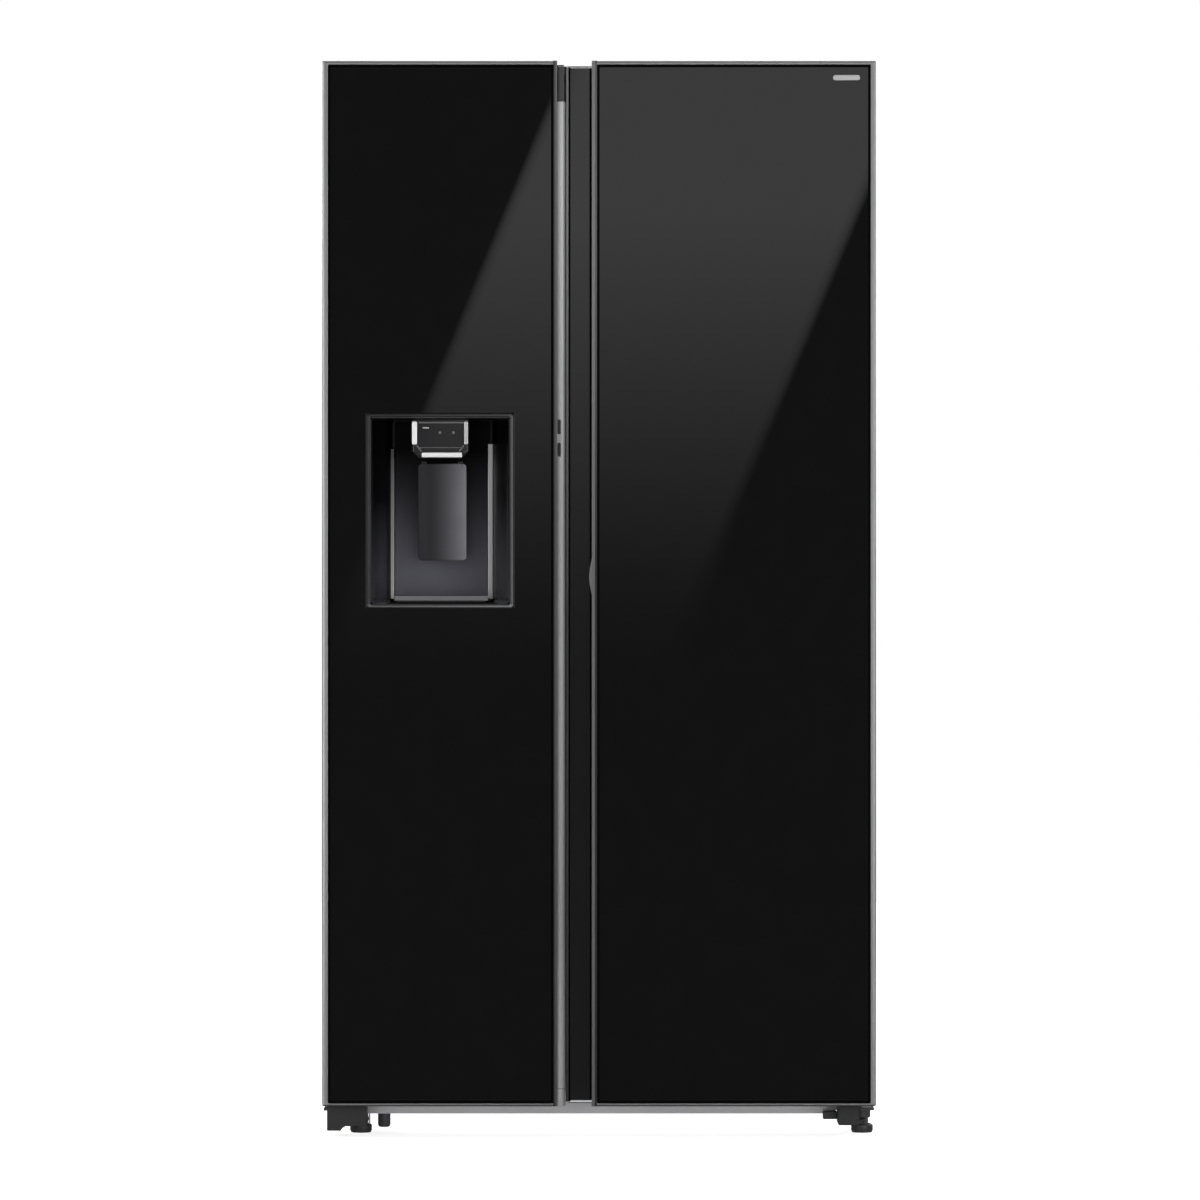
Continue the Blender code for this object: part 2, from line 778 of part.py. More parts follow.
def dispenser_frame():
    hole_x = (DISPENSER_X[0] + DISPENSER_FRAME, DISPENSER_X[1] - DISPENSER_FRAME)
    hole_z = (DISPENSER_Z[0] + DISPENSER_FRAME, DISPENSER_Z[1] - DISPENSER_FRAME)
    ring = plate_with_hole(
        "dispenser_frame", DISPENSER_X, DISPENSER_Z, hole_x, hole_z, (FRONT, BAY_MOUTH_Y - GAP)
    )
    return paint(ring, "grey_trim")


def dispenser_bay():
    """A tub on its side whose walls narrow towards the back."""

    def corners(x, y):
        return [(x[0], y, BAY_Z[0]), (x[1], y, BAY_Z[0]), (x[1], y, BAY_Z[1]), (x[0], y, BAY_Z[1])]

    mouth = corners(BAY_FRONT_X, BAY_MOUTH_Y)
    bottom = corners(BAY_BACK_X, BAY_BACK_Y)
    return paint(tub("dispenser_bay", mouth, bottom, BAY_WALL, BAY_WALL), "bay_plastic")


def dispenser_nozzle():
    """Housing under the top of the bay, with its lower corners cut off."""
    outline = [
        (-0.309, BAY_Z[1] - GAP),
        (-0.214, BAY_Z[1] - GAP),
        (-0.214, 1.131),
        (-0.226, 1.119),
        (-0.297, 1.119),
        (-0.309, 1.131),
    ]
    return paint(prism("dispenser_nozzle", outline, "Y", -0.3480, -0.2900), "dark_plastic")


def dispenser_paddle():
    """Press plate that hangs under the nozzle; its origin is on its pivot."""
    half = 0.0415
    thick = 0.005
    paddle = block("dispenser_paddle", (-half, -thick / 2, -0.154), (half, thick / 2, 0.006))
    paddle.location = (-0.2585, PADDLE_AXIS_Y, PADDLE_AXIS_Z)
    return paint(bevel(paddle, 0.0015), "bay_plastic")


def drip_tray():
    low = (-0.336, -0.346, BAY_Z[0] + GAP)
    high = (-0.184, -0.270, BAY_Z[0] + 0.0085)
    return paint(open_box("drip_tray", low, high, 0.002, 0.002), "bay_plastic")


# ---------------------------------------------------------------- fridge door

def inner_door_frame():
    """Framed door with a window for the bins, walls that hold them, and lugs for the showcase."""
    y = (INNER_DOOR_FRONT, DOOR_REAR)
    frame = plate_with_hole("inner_door_frame", INNER_DOOR_X, INNER_DOOR_Z, WINDOW_X, WINDOW_Z, y)
    for name, x in (("outer", (WINDOW_X[1], 0.3915)), ("inner", (0.0085, WINDOW_X[0]))):
        weld(frame, block(f"inner_door_{name}_wall", (x[0], y[1] - 0.001, 0.130), (x[1], -0.178, 1.670)))
    axis_x, axis_y = SHOWCASE_AXIS
    for name, z, pin_z in (
        ("upper", (1.7235, 1.7275), (1.708, 1.7255)),
        ("lower", (0.0570, 0.0610), (0.059, 0.077)),
    ):
        low = (axis_x - 0.0048, axis_y - 0.0048, z[0])
        high = (axis_x + 0.0048, y[0] + 0.006, z[1])
        weld(frame, block(f"{name}_lug", low, high))
        weld(frame, rod(f"{name}_showcase_pin", (*SHOWCASE_AXIS, 0), "Z", SHOWCASE_PIN, *pin_z))
    notch = block("inner_hinge_notch", (NOTCH_X, -0.32, NOTCH_TOP), (HALF + 0.01, -0.25, 1.80))
    holes = [
        pin_hole("inner_upper_hole", FRIDGE_AXIS, DOOR_PIN, NOTCH_TOP - 0.017, NOTCH_TOP + 0.01),
        pin_hole("inner_lower_hole", FRIDGE_AXIS, DOOR_PIN, 0.05, 0.068),
    ]
    return paint(carve(frame, notch, *holes), "white_plastic")


def inner_door_strip():
    """Glossy strip on the free edge of the inner door, seen beside the showcase door."""
    low = (-0.0480, INNER_DOOR_FRONT - 0.0040, 0.059)
    high = (-0.0150, INNER_DOOR_FRONT - GAP, 1.764)
    return paint(block("inner_door_strip", low, high), "black_glass")


def showcase_core():
    """Thin insulated body of the showcase door, with a pocket for the release button."""
    x = (SHOWCASE_X[0] + 0.0015, SHOWCASE_X[1] - 0.0015)
    core = block("showcase_core", (x[0], TRIM_REAR + GAP, 0.066), (x[1], SHOWCASE_REAR, CORE_TOP))
    weld(core, door_pad("showcase_pad", SHOWCASE_GLASS_X))
    notch = block("showcase_notch", (NOTCH_X + 0.01, TRIM_REAR + 0.0015, 1.722), (HALF + 0.01, -0.30, 1.80))
    pocket = block("button_pocket", (x[0] - 0.01, -0.3440, 0.875), (0.0015, -0.3260, 0.960))
    holes = [
        pin_hole("showcase_upper_hole", SHOWCASE_AXIS, SHOWCASE_PIN, 1.700, 1.730),
        pin_hole("showcase_lower_hole", SHOWCASE_AXIS, SHOWCASE_PIN, 0.050, 0.080),
    ]
    return paint(carve(core, notch, pocket, *holes), "white_plastic")


def showcase_glass():
    x, z = glass_area(SHOWCASE_GLASS_X)
    pane = block("showcase_glass", (x[0], FRONT, z[0]), (x[1], FRONT + GLASS, z[1]))
    return paint(pane, "black_glass")


def release_button():
    """Push button on the free edge of the showcase door; it travels towards +X."""
    button = block("release_button", (0, -0.0075, -0.0405), (0.0135, 0.0075, 0.0405))
    button.location = (-0.0165, -0.3350, 0.9175)
    return paint(bevel(button, 0.0012), "grey_trim")


# ---------------------------------------------------------------- assembly

def build_cabinet():
    side_panel("side_panel_left", -1)
    side_panel("side_panel_right", 1)
    top_panel()
    back_panel()
    base_plate()
    cabinet_foam()
    middle = (FREEZER_X[1] + FRIDGE_X[0]) / 2
    edge = HALF - SIDE_FLANGE - GAP
    liner("freezer_liner", FREEZER_X, (-edge, middle - GAP), (0.340, 0.530, 0.850, 1.300))
    liner("fridge_liner", FRIDGE_X, (middle + GAP, edge), (0.340, 0.530, 0.850, 1.180))
    top_cover()
    upper_hinge("upper_hinge_left", -1, FREEZER_AXIS)
    upper_hinge("upper_hinge_right", 1, FRIDGE_AXIS)
    lower_hinge("lower_hinge_left", -1, FREEZER_AXIS)
    lower_hinge("lower_hinge_right", 1, FRIDGE_AXIS)
    for name, xy in FEET.items():
        levelling_foot(f"levelling_foot_{name}", xy)
    for name in ROLLERS:
        roller(name)


def build_machine_space():
    compressor()
    condenser_coil()
    fan("condenser_fan", (0.080, 0.235, 0.150), "X", 0.062, 0.018, 0.022)
    drain_pan()
    machine_cover()


def build_compartments():
    air_panel("freezer_air_panel", FREEZER_X, (0.36, 1.66))
    air_panel("fridge_air_panel", FRIDGE_X, (0.36, 1.66))
    evaporator_coil()
    fan("evaporator_fan", (-0.2395, 0.267, 1.200), "Y", 0.055, 0.016, 0.020)
    shelf("freezer_shelf", FREEZER_X, 0.530)
    for i, level in enumerate((0.530, 0.850, 1.180)):
        shelf(f"fridge_shelf_{i + 1}", FRIDGE_X, level)
    ice_maker()
    ice_bucket()
    drawer("freezer_drawer", (-0.372, -0.096), (-0.140, 0.215), (0.3405, 0.515))
    drawer("fridge_drawer_upper", (-0.014, 0.372), (-0.140, 0.215), (0.3405, 0.515))
    drawer("fridge_drawer_lower", (-0.014, 0.372), (-0.140, 0.055), (0.1155, 0.325))


def build_freezer_door():
    bin_y = (DOOR_REAR + GAP, -0.180)
    bin_x = (-0.3750, -0.1175)
    objects = [
        freezer_core(),
        freezer_glass(),
        door_trim("freezer_door_trim", FREEZER_DOOR_X, FREEZER_GLASS_X),
        freezer_handle(),
        gasket("freezer_door_gasket", (-0.430, -0.060), (0.078, 1.726), 0.018, (DOOR_REAR + GAP, CASE_FRONT - GAP)),
        door_bin("freezer_bin_lower", bin_x, bin_y, (0.260, 0.380)),
        door_bin("freezer_bin_upper", bin_x, bin_y, (1.300, 1.420)),
        dispenser_frame(),
        dispenser_bay(),
        dispenser_nozzle(),
        dispenser_paddle(),
        drip_tray(),
    ]
    hang_on("freezer_door_axis", FREEZER_AXIS, objects)


def build_fridge_door():
    bin_y = (-0.3000, -0.180)
    bin_x = (WINDOW_X[0] + 0.0005, WINDOW_X[1] - 0.0005)
    inner = [
        inner_door_frame(),
        inner_door_strip(),
        gasket("inner_door_gasket", (-0.0455, 0.430), (0.078, 1.726), 0.018, (DOOR_REAR + GAP, CASE_FRONT - GAP)),
    ]
    for i, z in enumerate((0.240, 0.700, 1.200)):
        inner.append(door_bin(f"fridge_bin_{i + 1}", bin_x, bin_y, (z, z + 0.120)))
    showcase = [
        showcase_core(),
        showcase_glass(),
        door_trim("showcase_trim", SHOWCASE_X, SHOWCASE_GLASS_X),
        gasket(
            "showcase_gasket",
            (0.000, 0.434),
            (0.075, 1.716),
            0.012,
            (SHOWCASE_REAR + GAP, INNER_DOOR_FRONT - GAP),
        ),
        release_button(),
    ]
    inner_axis = hang_on("inner_door_axis", FRIDGE_AXIS, inner)
    hang_on("showcase_axis", SHOWCASE_AXIS, showcase, parent=inner_axis)


def main():
    clear_scene()
    build_cabinet()
    build_machine_space()
    build_compartments()
    build_freezer_door()
    build_fridge_door()


main()
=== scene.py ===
"""Looks for the side by side refrigerator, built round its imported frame.

Metres, in the frame's own axes: X runs to the right, the doors face -Y and +Z is up.
"""
import json
from math import cos, hypot, pi, radians, sin
import bmesh
import bpy
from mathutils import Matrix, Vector

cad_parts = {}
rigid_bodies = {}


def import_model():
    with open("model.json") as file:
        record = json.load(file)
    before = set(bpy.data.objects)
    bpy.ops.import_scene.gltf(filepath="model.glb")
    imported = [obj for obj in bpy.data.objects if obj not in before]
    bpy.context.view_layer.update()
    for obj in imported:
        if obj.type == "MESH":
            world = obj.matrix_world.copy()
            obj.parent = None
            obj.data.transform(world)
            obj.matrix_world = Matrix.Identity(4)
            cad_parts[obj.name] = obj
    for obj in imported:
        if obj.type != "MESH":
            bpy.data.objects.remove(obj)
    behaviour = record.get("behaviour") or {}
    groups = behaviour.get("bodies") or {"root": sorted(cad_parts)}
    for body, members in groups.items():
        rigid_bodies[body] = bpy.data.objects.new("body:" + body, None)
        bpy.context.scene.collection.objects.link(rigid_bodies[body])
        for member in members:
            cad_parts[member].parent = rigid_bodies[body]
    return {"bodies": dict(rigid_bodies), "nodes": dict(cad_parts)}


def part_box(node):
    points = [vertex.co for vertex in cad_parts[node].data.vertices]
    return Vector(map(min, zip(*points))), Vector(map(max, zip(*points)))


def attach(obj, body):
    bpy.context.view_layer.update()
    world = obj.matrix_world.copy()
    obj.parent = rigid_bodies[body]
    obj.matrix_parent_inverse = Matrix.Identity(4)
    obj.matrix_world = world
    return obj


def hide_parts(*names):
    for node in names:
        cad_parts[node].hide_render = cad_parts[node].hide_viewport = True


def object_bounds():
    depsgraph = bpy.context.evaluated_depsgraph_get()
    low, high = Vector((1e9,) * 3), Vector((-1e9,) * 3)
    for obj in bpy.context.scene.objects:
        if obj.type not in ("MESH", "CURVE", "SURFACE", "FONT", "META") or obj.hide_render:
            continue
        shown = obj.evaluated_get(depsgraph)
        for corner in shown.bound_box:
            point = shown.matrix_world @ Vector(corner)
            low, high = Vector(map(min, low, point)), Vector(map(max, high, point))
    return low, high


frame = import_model()
CAD_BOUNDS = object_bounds()


def spans(node):
    """A CAD node's x, y and z ranges."""
    low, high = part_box(node)
    return tuple(zip(low, high))


# ---------------------------------------------------------------- places read from the frame
FRONT = CAD_BOUNDS[0].y
TOP = spans("top_panel")[2][1]
CASE_FRONT = spans("top_panel")[1][0]

# ---------------------------------------------------------------- named sizes
HINGE_X = 0.440
CAP_FRONT, CAP_REAR = -0.3445, -0.3180
FREEZER_X, FRIDGE_X = (-0.396, -0.083), (-0.023, 0.396)
LINER_FLOOR, LINER_CEILING, LINER_STEP = 0.115, 1.690, 0.300
RAIL_HEIGHTS = {"freezer": (0.340, 0.530, 0.850, 1.300), "fridge": (0.340, 0.530, 0.850, 1.180)}

# ---------------------------------------------------------------- points and skins


def mirrored(pair, side):
    """An x range given for the right side, moved to `side`."""
    return tuple(sorted((side * pair[0], side * pair[1])))


def shrink(pair, inset, far_inset=None):
    return pair[0] + inset, pair[1] - (inset if far_inset is None else far_inset)


def middle(pair):
    return (pair[0] + pair[1]) / 2


def around(centre, reach):
    return centre - reach, centre + reach


def rounded(u, v, radius, steps=4):
    """Points of a rounded rectangle in two axes."""
    r = max(min(radius, (u[1] - u[0]) / 2.01, (v[1] - v[0]) / 2.01), 1e-5)
    centres = ((u[1] - r, v[0] + r, -90), (u[1] - r, v[1] - r, 0), (u[0] + r, v[1] - r, 90),
               (u[0] + r, v[0] + r, 180))
    points = []
    for cu, cv, start in centres:
        for i in range(steps + 1):
            angle = radians(start + 90 * i / steps)
            points.append((cu + r * cos(angle), cv + r * sin(angle)))
    return points


def level(points, along, axis):
    """Two-axis points put at a distance along the third axis."""
    index = "XYZ".index(axis)
    placed = []
    for point in points:
        values = list(point)
        values.insert(index, along)
        placed.append(Vector(values))
    return placed


def skin(loops, caps=True, closed=False):
    """Points and faces over a row of loops; `closed` joins the last loop to the first."""
    points = [point for loop in loops for point in loop]
    count = len(loops[0])
    faces = []
    rows = len(loops) if closed else len(loops) - 1
    for row in range(rows):
        near, far = row * count, (row + 1) % len(loops) * count
        for i in range(count):
            j = (i + 1) % count
            faces.append((near + i, near + j, far + j, far + i))
    if caps and not closed:
        faces.append(tuple(range(count)))
        faces.append(tuple(range(len(points) - count, len(points))))
    return points, faces


def eased(start, end, edge, steps=3):
    """(distance, inset) pairs from one face of a block to the other, with rounded edges."""
    arc = [(edge * (1 - cos(pi / 2 * i / steps)), edge * (1 - sin(pi / 2 * i / steps)))
           for i in range(steps + 1)]
    return [(start + a, inset) for a, inset in arc] + [(end - a, inset) for a, inset in reversed(arc)]


def block(x, y, z, edge=0.001, radius=None, axis="Y", steps=3):
    """A block with corners of `radius` seen along `axis`, and eased edges."""
    ranges = [x, y, z]
    along = ranges.pop("XYZ".index(axis))
    radius = edge if radius is None else radius
    loops = []
    for distance, inset in eased(*along, edge, steps):
        outline = rounded(shrink(ranges[0], inset), shrink(ranges[1], inset), max(radius - inset, 0.0001))
        loops.append(level(outline, distance, axis))
    return skin(loops)


def slab(outline, axis, start, end):
    """An outline in two axes, extruded along the third."""
    return skin([level(outline, start, axis), level(outline, end, axis)])


def ring(outer, inner, section, radii=(0.003, 0.0015), axis="Y"):
    """A frame between two rectangles. Each section point is (edge, inset, distance along the axis),
    measured from the outer edge inwards or from the inner edge outwards."""
    loops = []
    for edge, inset, distance in section:
        (u, v), sign, radius = (outer, 1, radii[0]) if edge == "outer" else (inner, -1, radii[1])
        outline = rounded(shrink(u, sign * inset), shrink(v, sign * inset),
                          max(radius - sign * inset, 0.0002))
        loops.append(level(outline, distance, axis))
    return skin(loops, closed=True)


def both_edges(half):
    """A ring's section that is the same on its inner edge as on its outer one."""
    return [("outer", *point) for point in half] + [("inner", *point) for point in reversed(half)]


def plate_ring(outer, inner, y, edge=0.0006, radii=(0.003, 0.0015)):
    """A flat frame with its front edges eased."""
    half = ((0, y[1]), (0, y[0] + edge), (edge * 0.3, y[0] + edge * 0.3), (edge, y[0]))
    return ring(outer, inner, both_edges(half), radii)


def rim_ring(x, z, rim, y, edge, radii):
    """A flat frame of an even width."""
    return plate_ring((x, z), (shrink(x, rim), shrink(z, rim)), y, edge, radii)


def turned(profile, centre, axis="Z", segments=32, closed=False):
    """A profile of (radius, height) points turned about an axis through `centre`."""
    loops = []
    for radius, height in profile:
        angles = [2 * pi * i / segments for i in range(segments)]
        circle = [(max(radius, 1e-5) * cos(a), max(radius, 1e-5) * sin(a)) for a in angles]
        loops.append([point + Vector(centre) for point in level(circle, height, axis)])
    return skin(loops, closed=closed)


def turned_ring(profile, centre, axis="X", segments=40):
    """A closed profile turned round an axis, leaving a bore."""
    return turned(profile, centre, axis, segments, closed=True)


def tube(path, radius, sides=12):
    """A round tube along a path of points."""
    path = [Vector(point) for point in path]
    loops = []
    across = None
    for i, point in enumerate(path):
        ahead = (path[min(i + 1, len(path) - 1)] - path[max(i - 1, 0)]).normalized()
        if across is None:
            across = ahead.orthogonal().normalized()
        across = (across - ahead * across.dot(ahead)).normalized()
        other = ahead.cross(across)
        angles = [2 * pi * k / sides for k in range(sides)]
        loops.append([point + radius * (cos(a) * across + sin(a) * other) for a in angles])
    return skin(loops)


def smooth_path(points, steps=8):
    """A Catmull-Rom curve through a few points."""
    points = [Vector(point) for point in points]
    padded = [2 * points[0] - points[1], *points, 2 * points[-1] - points[-2]]
    path = []
    for a, b, c, d in zip(padded, padded[1:], padded[2:], padded[3:]):
        for i in range(steps):
            t = i / steps
            square = (2 * a - 5 * b + 4 * c - d) * t * t
            cube = (3 * b - a - 3 * c + d) * t ** 3
            path.append(0.5 * (2 * b + (c - a) * t + square + cube))
    return path + [points[-1]]


def tray(x, y, z, wall=0.0022, radius=0.012, lip=0.003, draft=0.004, foot=0.006, front_drop=0.0):
    """An open moulded tray: tapered sides, a rounded foot, a rolled lip and a lower front."""
    height = z[1] - z[0]
    steps = 4
    arc = [(foot * (1 - sin(pi / 2 * i / steps)), foot * (1 - cos(pi / 2 * i / steps)))
           for i in range(steps + 1)]
    side = lip + draft
    profile = [(side + inset, rise) for inset, rise in arc]
    profile += [(lip, height - lip - 0.001), (0.0004, height - lip), (0, height - lip * 0.6),
                (0.0005, height - 0.0005)]
    profile += [(0.0015, height), (lip + wall * 0.6, height), (lip + wall, height - 0.0012)]
    profile += [(side + wall + inset, max(rise, wall * 0.4) + wall * 0.6) for inset, rise in reversed(arc)]
    loops = []
    for inset, rise in profile:
        outline = rounded(shrink(x, inset), shrink(y, inset), max(radius - inset * 0.5, 0.002), 5)
        loop = []
        for u, v in outline:
            share = (v - y[0]) / (y[1] - y[0])
            drop = front_drop * (rise / height) * max(0.0, 1 - share / 0.45) ** 1.5
            loop.append(Vector((u, v, z[0] + rise - drop)))
        loops.append(loop)
    return skin(loops)


def screw(centre, axis="Z", side=1, radius=0.004):
    """A pan head with a six-sided socket."""
    height = radius * 0.55
    profile = [(radius, 0), (radius, height * 0.3), (radius * 0.85, height * 0.8), (radius * 0.5, height)]
    profile += [(radius * 0.42, height), (radius * 0.36, height * 0.35), (0, height * 0.3)]
    return turned([(r, side * h) for r, h in profile], centre, axis, 18)


# ---------------------------------------------------------------- materials


def socket_tree(name):
    material = bpy.data.materials.new(name)
    material.use_nodes = True
    nodes, links = material.node_tree.nodes, material.node_tree.links
    return material, nodes, links, nodes["Principled BSDF"]


def noise(nodes, links, scale, stretch=(1, 1, 1), detail=3.0):
    """Noise over the row frame's own metres, stretched along an axis where asked."""
    place = nodes.new("ShaderNodeTexCoord")
    mapping = nodes.new("ShaderNodeMapping")
    mapping.inputs["Scale"].default_value = stretch
    texture = nodes.new("ShaderNodeTexNoise")
    texture.inputs["Scale"].default_value = scale
    texture.inputs["Detail"].default_value = detail
    links.new(place.outputs["Object"], mapping.inputs["Vector"])
    links.new(mapping.outputs["Vector"], texture.inputs["Vector"])
    return texture.outputs["Fac"]


def remap(nodes, links, value, low, high, start=0.3, end=0.7):
    step = nodes.new("ShaderNodeMapRange")
    step.inputs["From Min"].default_value = start
    step.inputs["From Max"].default_value = end
    step.inputs["To Min"].default_value = low
    step.inputs["To Max"].default_value = high
    links.new(value, step.inputs["Value"])
    return step.outputs["Result"]


def blend_colours(nodes, links, share, first, second):
    """Mixes two colours, or two colour sockets, by a value from 0 to 1."""
    mix = nodes.new("ShaderNodeMix")
    mix.data_type = "RGBA"
    for colour, socket in ((first, mix.inputs[6]), (second, mix.inputs[7])):
        if isinstance(colour, bpy.types.NodeSocket):
            links.new(colour, socket)
        else:
            socket.default_value = (*colour, 1)
    links.new(share, mix.inputs[0])
    return mix.outputs[2]


def surface(
    name, colour, roughness, metallic=0.0, tint=0.06, patch=24.0, grain=900.0, spread=0.04,
    relief=0.0, depth=0.0001, stretch=(1, 1, 1), fixed=(),
):
    """A surface whose colour drifts over broad patches while its gloss and relief follow a fine grain."""
    material, nodes, links, shader = socket_tree(name)
    dark = tuple(c * (1 - tint) for c in colour)
    light = tuple(min(c * (1 + tint), 1.0) for c in colour)
    drift = remap(nodes, links, noise(nodes, links, patch, stretch), 0, 1)
    links.new(blend_colours(nodes, links, drift, dark, light), shader.inputs["Base Color"])
    fine = noise(nodes, links, grain, stretch, 2.0)
    gloss = remap(nodes, links, fine, max(roughness - spread, 0.005), roughness + spread)
    links.new(gloss, shader.inputs["Roughness"])
    shader.inputs["Metallic"].default_value = metallic
    for socket, value in fixed:
        shader.inputs[socket].default_value = value
    if relief:
        bump = nodes.new("ShaderNodeBump")
        bump.inputs["Strength"].default_value = relief
        bump.inputs["Distance"].default_value = depth
        links.new(fine, bump.inputs["Height"])
        links.new(bump.outputs["Normal"], shader.inputs["Normal"])
    return material


def along(material, axis, start, end, first, second, about=None):
    """Multiplies the base colour by a ramp from `first` to `second`, which are greys or colours.
    The ramp runs from `start` to `end` on the axis, or over those distances from `about` on it."""
    nodes, links = material.node_tree.nodes, material.node_tree.links
    shader = nodes["Principled BSDF"]
    place = nodes.new("ShaderNodeTexCoord")
    split = nodes.new("ShaderNodeSeparateXYZ")
    links.new(place.outputs["Object"], split.inputs["Vector"])
    reach = split.outputs[axis]
    if about is not None:
        offset = nodes.new("ShaderNodeMath")
        offset.operation = "SUBTRACT"
        offset.inputs[1].default_value = about
        links.new(reach, offset.inputs[0])
        size = nodes.new("ShaderNodeMath")
        size.operation = "ABSOLUTE"
        links.new(offset.outputs[0], size.inputs[0])
        reach = size.outputs[0]
    share = remap(nodes, links, reach, 0, 1, start, end)
    tones = [tone if isinstance(tone, tuple) else (tone,) * 3 for tone in (first, second)]
    ramp = blend_colours(nodes, links, share, *tones)
    base = shader.inputs["Base Color"].links[0].from_socket
    mix = nodes.new("ShaderNodeMix")
    mix.data_type = "RGBA"
    mix.blend_type = "MULTIPLY"
    mix.inputs[0].default_value = 1.0
    links.new(base, mix.inputs[6])
    links.new(ramp, mix.inputs[7])
    links.new(mix.outputs[2], shader.inputs["Base Color"])
    return material


def see_through(material, alpha):
    material.node_tree.nodes["Principled BSDF"].inputs["Alpha"].default_value = alpha
    return material


def lamp_look(name, strength):
    """A lit diffuser whose glow drifts a little in patches."""
    material, nodes, links, shader = socket_tree(name)
    glow = remap(nodes, links, noise(nodes, links, 60), 0.92, 1.0)
    links.new(blend_colours(nodes, links, glow, (0.7, 0.75, 0.8), (1, 1, 1)), shader.inputs["Base Color"])
    links.new(blend_colours(nodes, links, glow, (0.8, 0.86, 0.92), (0.97, 0.99, 1)),
              shader.inputs["Emission Color"])
    shader.inputs["Emission Strength"].default_value = strength
    return material


def brushed(name, grey, blue, roughness, tint=0.02):
    """Satin metal whose grain runs upright."""
    return surface(name, (grey, grey, blue), roughness, 1.0, tint, 8, 2400, 0.02, stretch=(1, 1, 0.012))


DULL = (("Specular IOR Level", 0.15),)
# colour, roughness, metallic, tint, patch, grain, spread, relief, depth
PLAIN_LOOKS = {
    "case_paint": ((0.075, 0.077, 0.082), 0.42, 0.35, 0.05, 5, 700, 0.05, 0.25, 0.00006),
    "dark_plastic": ((0.022, 0.022, 0.024), 0.42, 0, 0.10, 30, 1500, 0.06, 0.35, 0.00008),
    "gloss_plastic": ((0.008, 0.008, 0.009), 0.10, 0, 0.10, 30, 500, 0.03, 0.03, 0.00005),
    "white_plastic": ((0.72, 0.73, 0.74), 0.34, 0, 0.015, 6, 1100, 0.05, 0.15, 0.00006),
    "charcoal": ((0.009, 0.009, 0.0095), 0.40, 0, 0.08, 20, 900, 0.05, 0.2, 0.00006),
    "gasket_rubber": ((0.30, 0.30, 0.31), 0.62, 0, 0.07, 18, 900, 0.07, 0.30, 0.0001),
    "insulation": ((0.75, 0.66, 0.42), 0.90, 0, 0.10, 40, 260, 0.05, 0.9, 0.0012),
    "zinc": ((0.52, 0.53, 0.55), 0.38, 1.0, 0.10, 45, 1200, 0.09, 0.08, 0.00005),
    "base_paint": ((0.42, 0.42, 0.43), 0.45, 0.2, 0.04, 12, 900, 0.05, 0.20, 0.00006),
    "condenser_paint": ((0.035, 0.035, 0.038), 0.46, 0.2, 0.10, 40, 700, 0.07, 0.3, 0.0001),
    "tyre_rubber": ((0.03, 0.03, 0.03), 0.72, 0, 0.12, 60, 900, 0.08, 0.4, 0.00015),
    "chrome": ((0.86, 0.86, 0.87), 0.09, 1.0, 0.02, 30, 900, 0.03, 0.02, 0.00002),
    "copper": ((0.72, 0.38, 0.24), 0.32, 1.0, 0.12, 70, 600, 0.08, 0.1, 0.00005),
    "blue_plastic": ((0.10, 0.24, 0.42), 0.38, 0, 0.06, 30, 900, 0.05, 0.2, 0.00006),
}
LOOKS = {
    "black_glass": surface("black_glass", (0.0006, 0.0006, 0.0007), 0.012, tint=0.3, spread=0.006),
    "strip_gloss": surface("strip_gloss", (0.0085, 0.0085, 0.0090), 0.05, tint=0.05, spread=0.015),
    "border": surface("glass_border", (0.0004, 0.0004, 0.0004), 0.6, spread=0.05,
                      fixed=(("Specular IOR Level", 0.05),)),
    "silver": brushed("silver", 0.58, 0.585, 0.34),
    "bright_metal": brushed("bright_metal", 0.95, 0.95, 0.38),
    "grey_trim": brushed("grey_trim", 0.31, 0.314, 0.36),
    "groove_metal": brushed("groove_metal", 0.17, 0.173, 0.38),
    "dark_trim": brushed("dark_trim", 0.10, 0.103, 0.42, 0.03),
    "clear_plastic": see_through(
        surface("clear_plastic", (0.80, 0.87, 0.91), 0.10, 0, 0.03, 12, 300, 0.03, 0.04, 0.0001), 0.30),
    "shelf_glass": see_through(surface("shelf_glass", (0.62, 0.80, 0.75), 0.04, 0, 0.03, 9, 200, 0.02), 0.26),
    "lamp": lamp_look("lamp", 1.4),
    **{name: surface(name, *values) for name, values in PLAIN_LOOKS.items()},
}

# ---------------------------------------------------------------- pieces


def add_object(name, data):
    obj = bpy.data.objects.new(name, data)
    bpy.context.scene.collection.objects.link(obj)
    return obj


def soften(obj, width, segments=2):
    step = obj.modifiers.new("edge", "BEVEL")
    step.width = width
    step.segments = segments
    step.limit_method = "ANGLE"
    step.angle_limit = radians(35)
    step.harden_normals = False


def even_normals(obj):
    step = obj.modifiers.new("normals", "WEIGHTED_NORMAL")
    step.keep_sharp = True


def piece(name, parts, look, body, replaces=(), ease=0.0, crease=38):
    """One object from several skins, dressed, and riding on its body."""
    bm = bmesh.new()
    for points, faces in parts:
        corners = [bm.verts.new(point) for point in points]
        for face in faces:
            bm.faces.new([corners[i] for i in face])
    bmesh.ops.recalc_face_normals(bm, faces=bm.faces[:])
    mesh = bpy.data.meshes.new(name)
    bm.to_mesh(mesh)
    bm.free()
    mesh.shade_smooth()
    mesh.set_sharp_from_angle(angle=radians(crease))
    obj = add_object(name, mesh)
    material = LOOKS[look] if isinstance(look, str) else look
    mesh.materials.append(material)
    if ease:
        soften(obj, ease)
    even_normals(obj)
    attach(obj, body)
    if replaces:
        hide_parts(*replaces)
    return obj


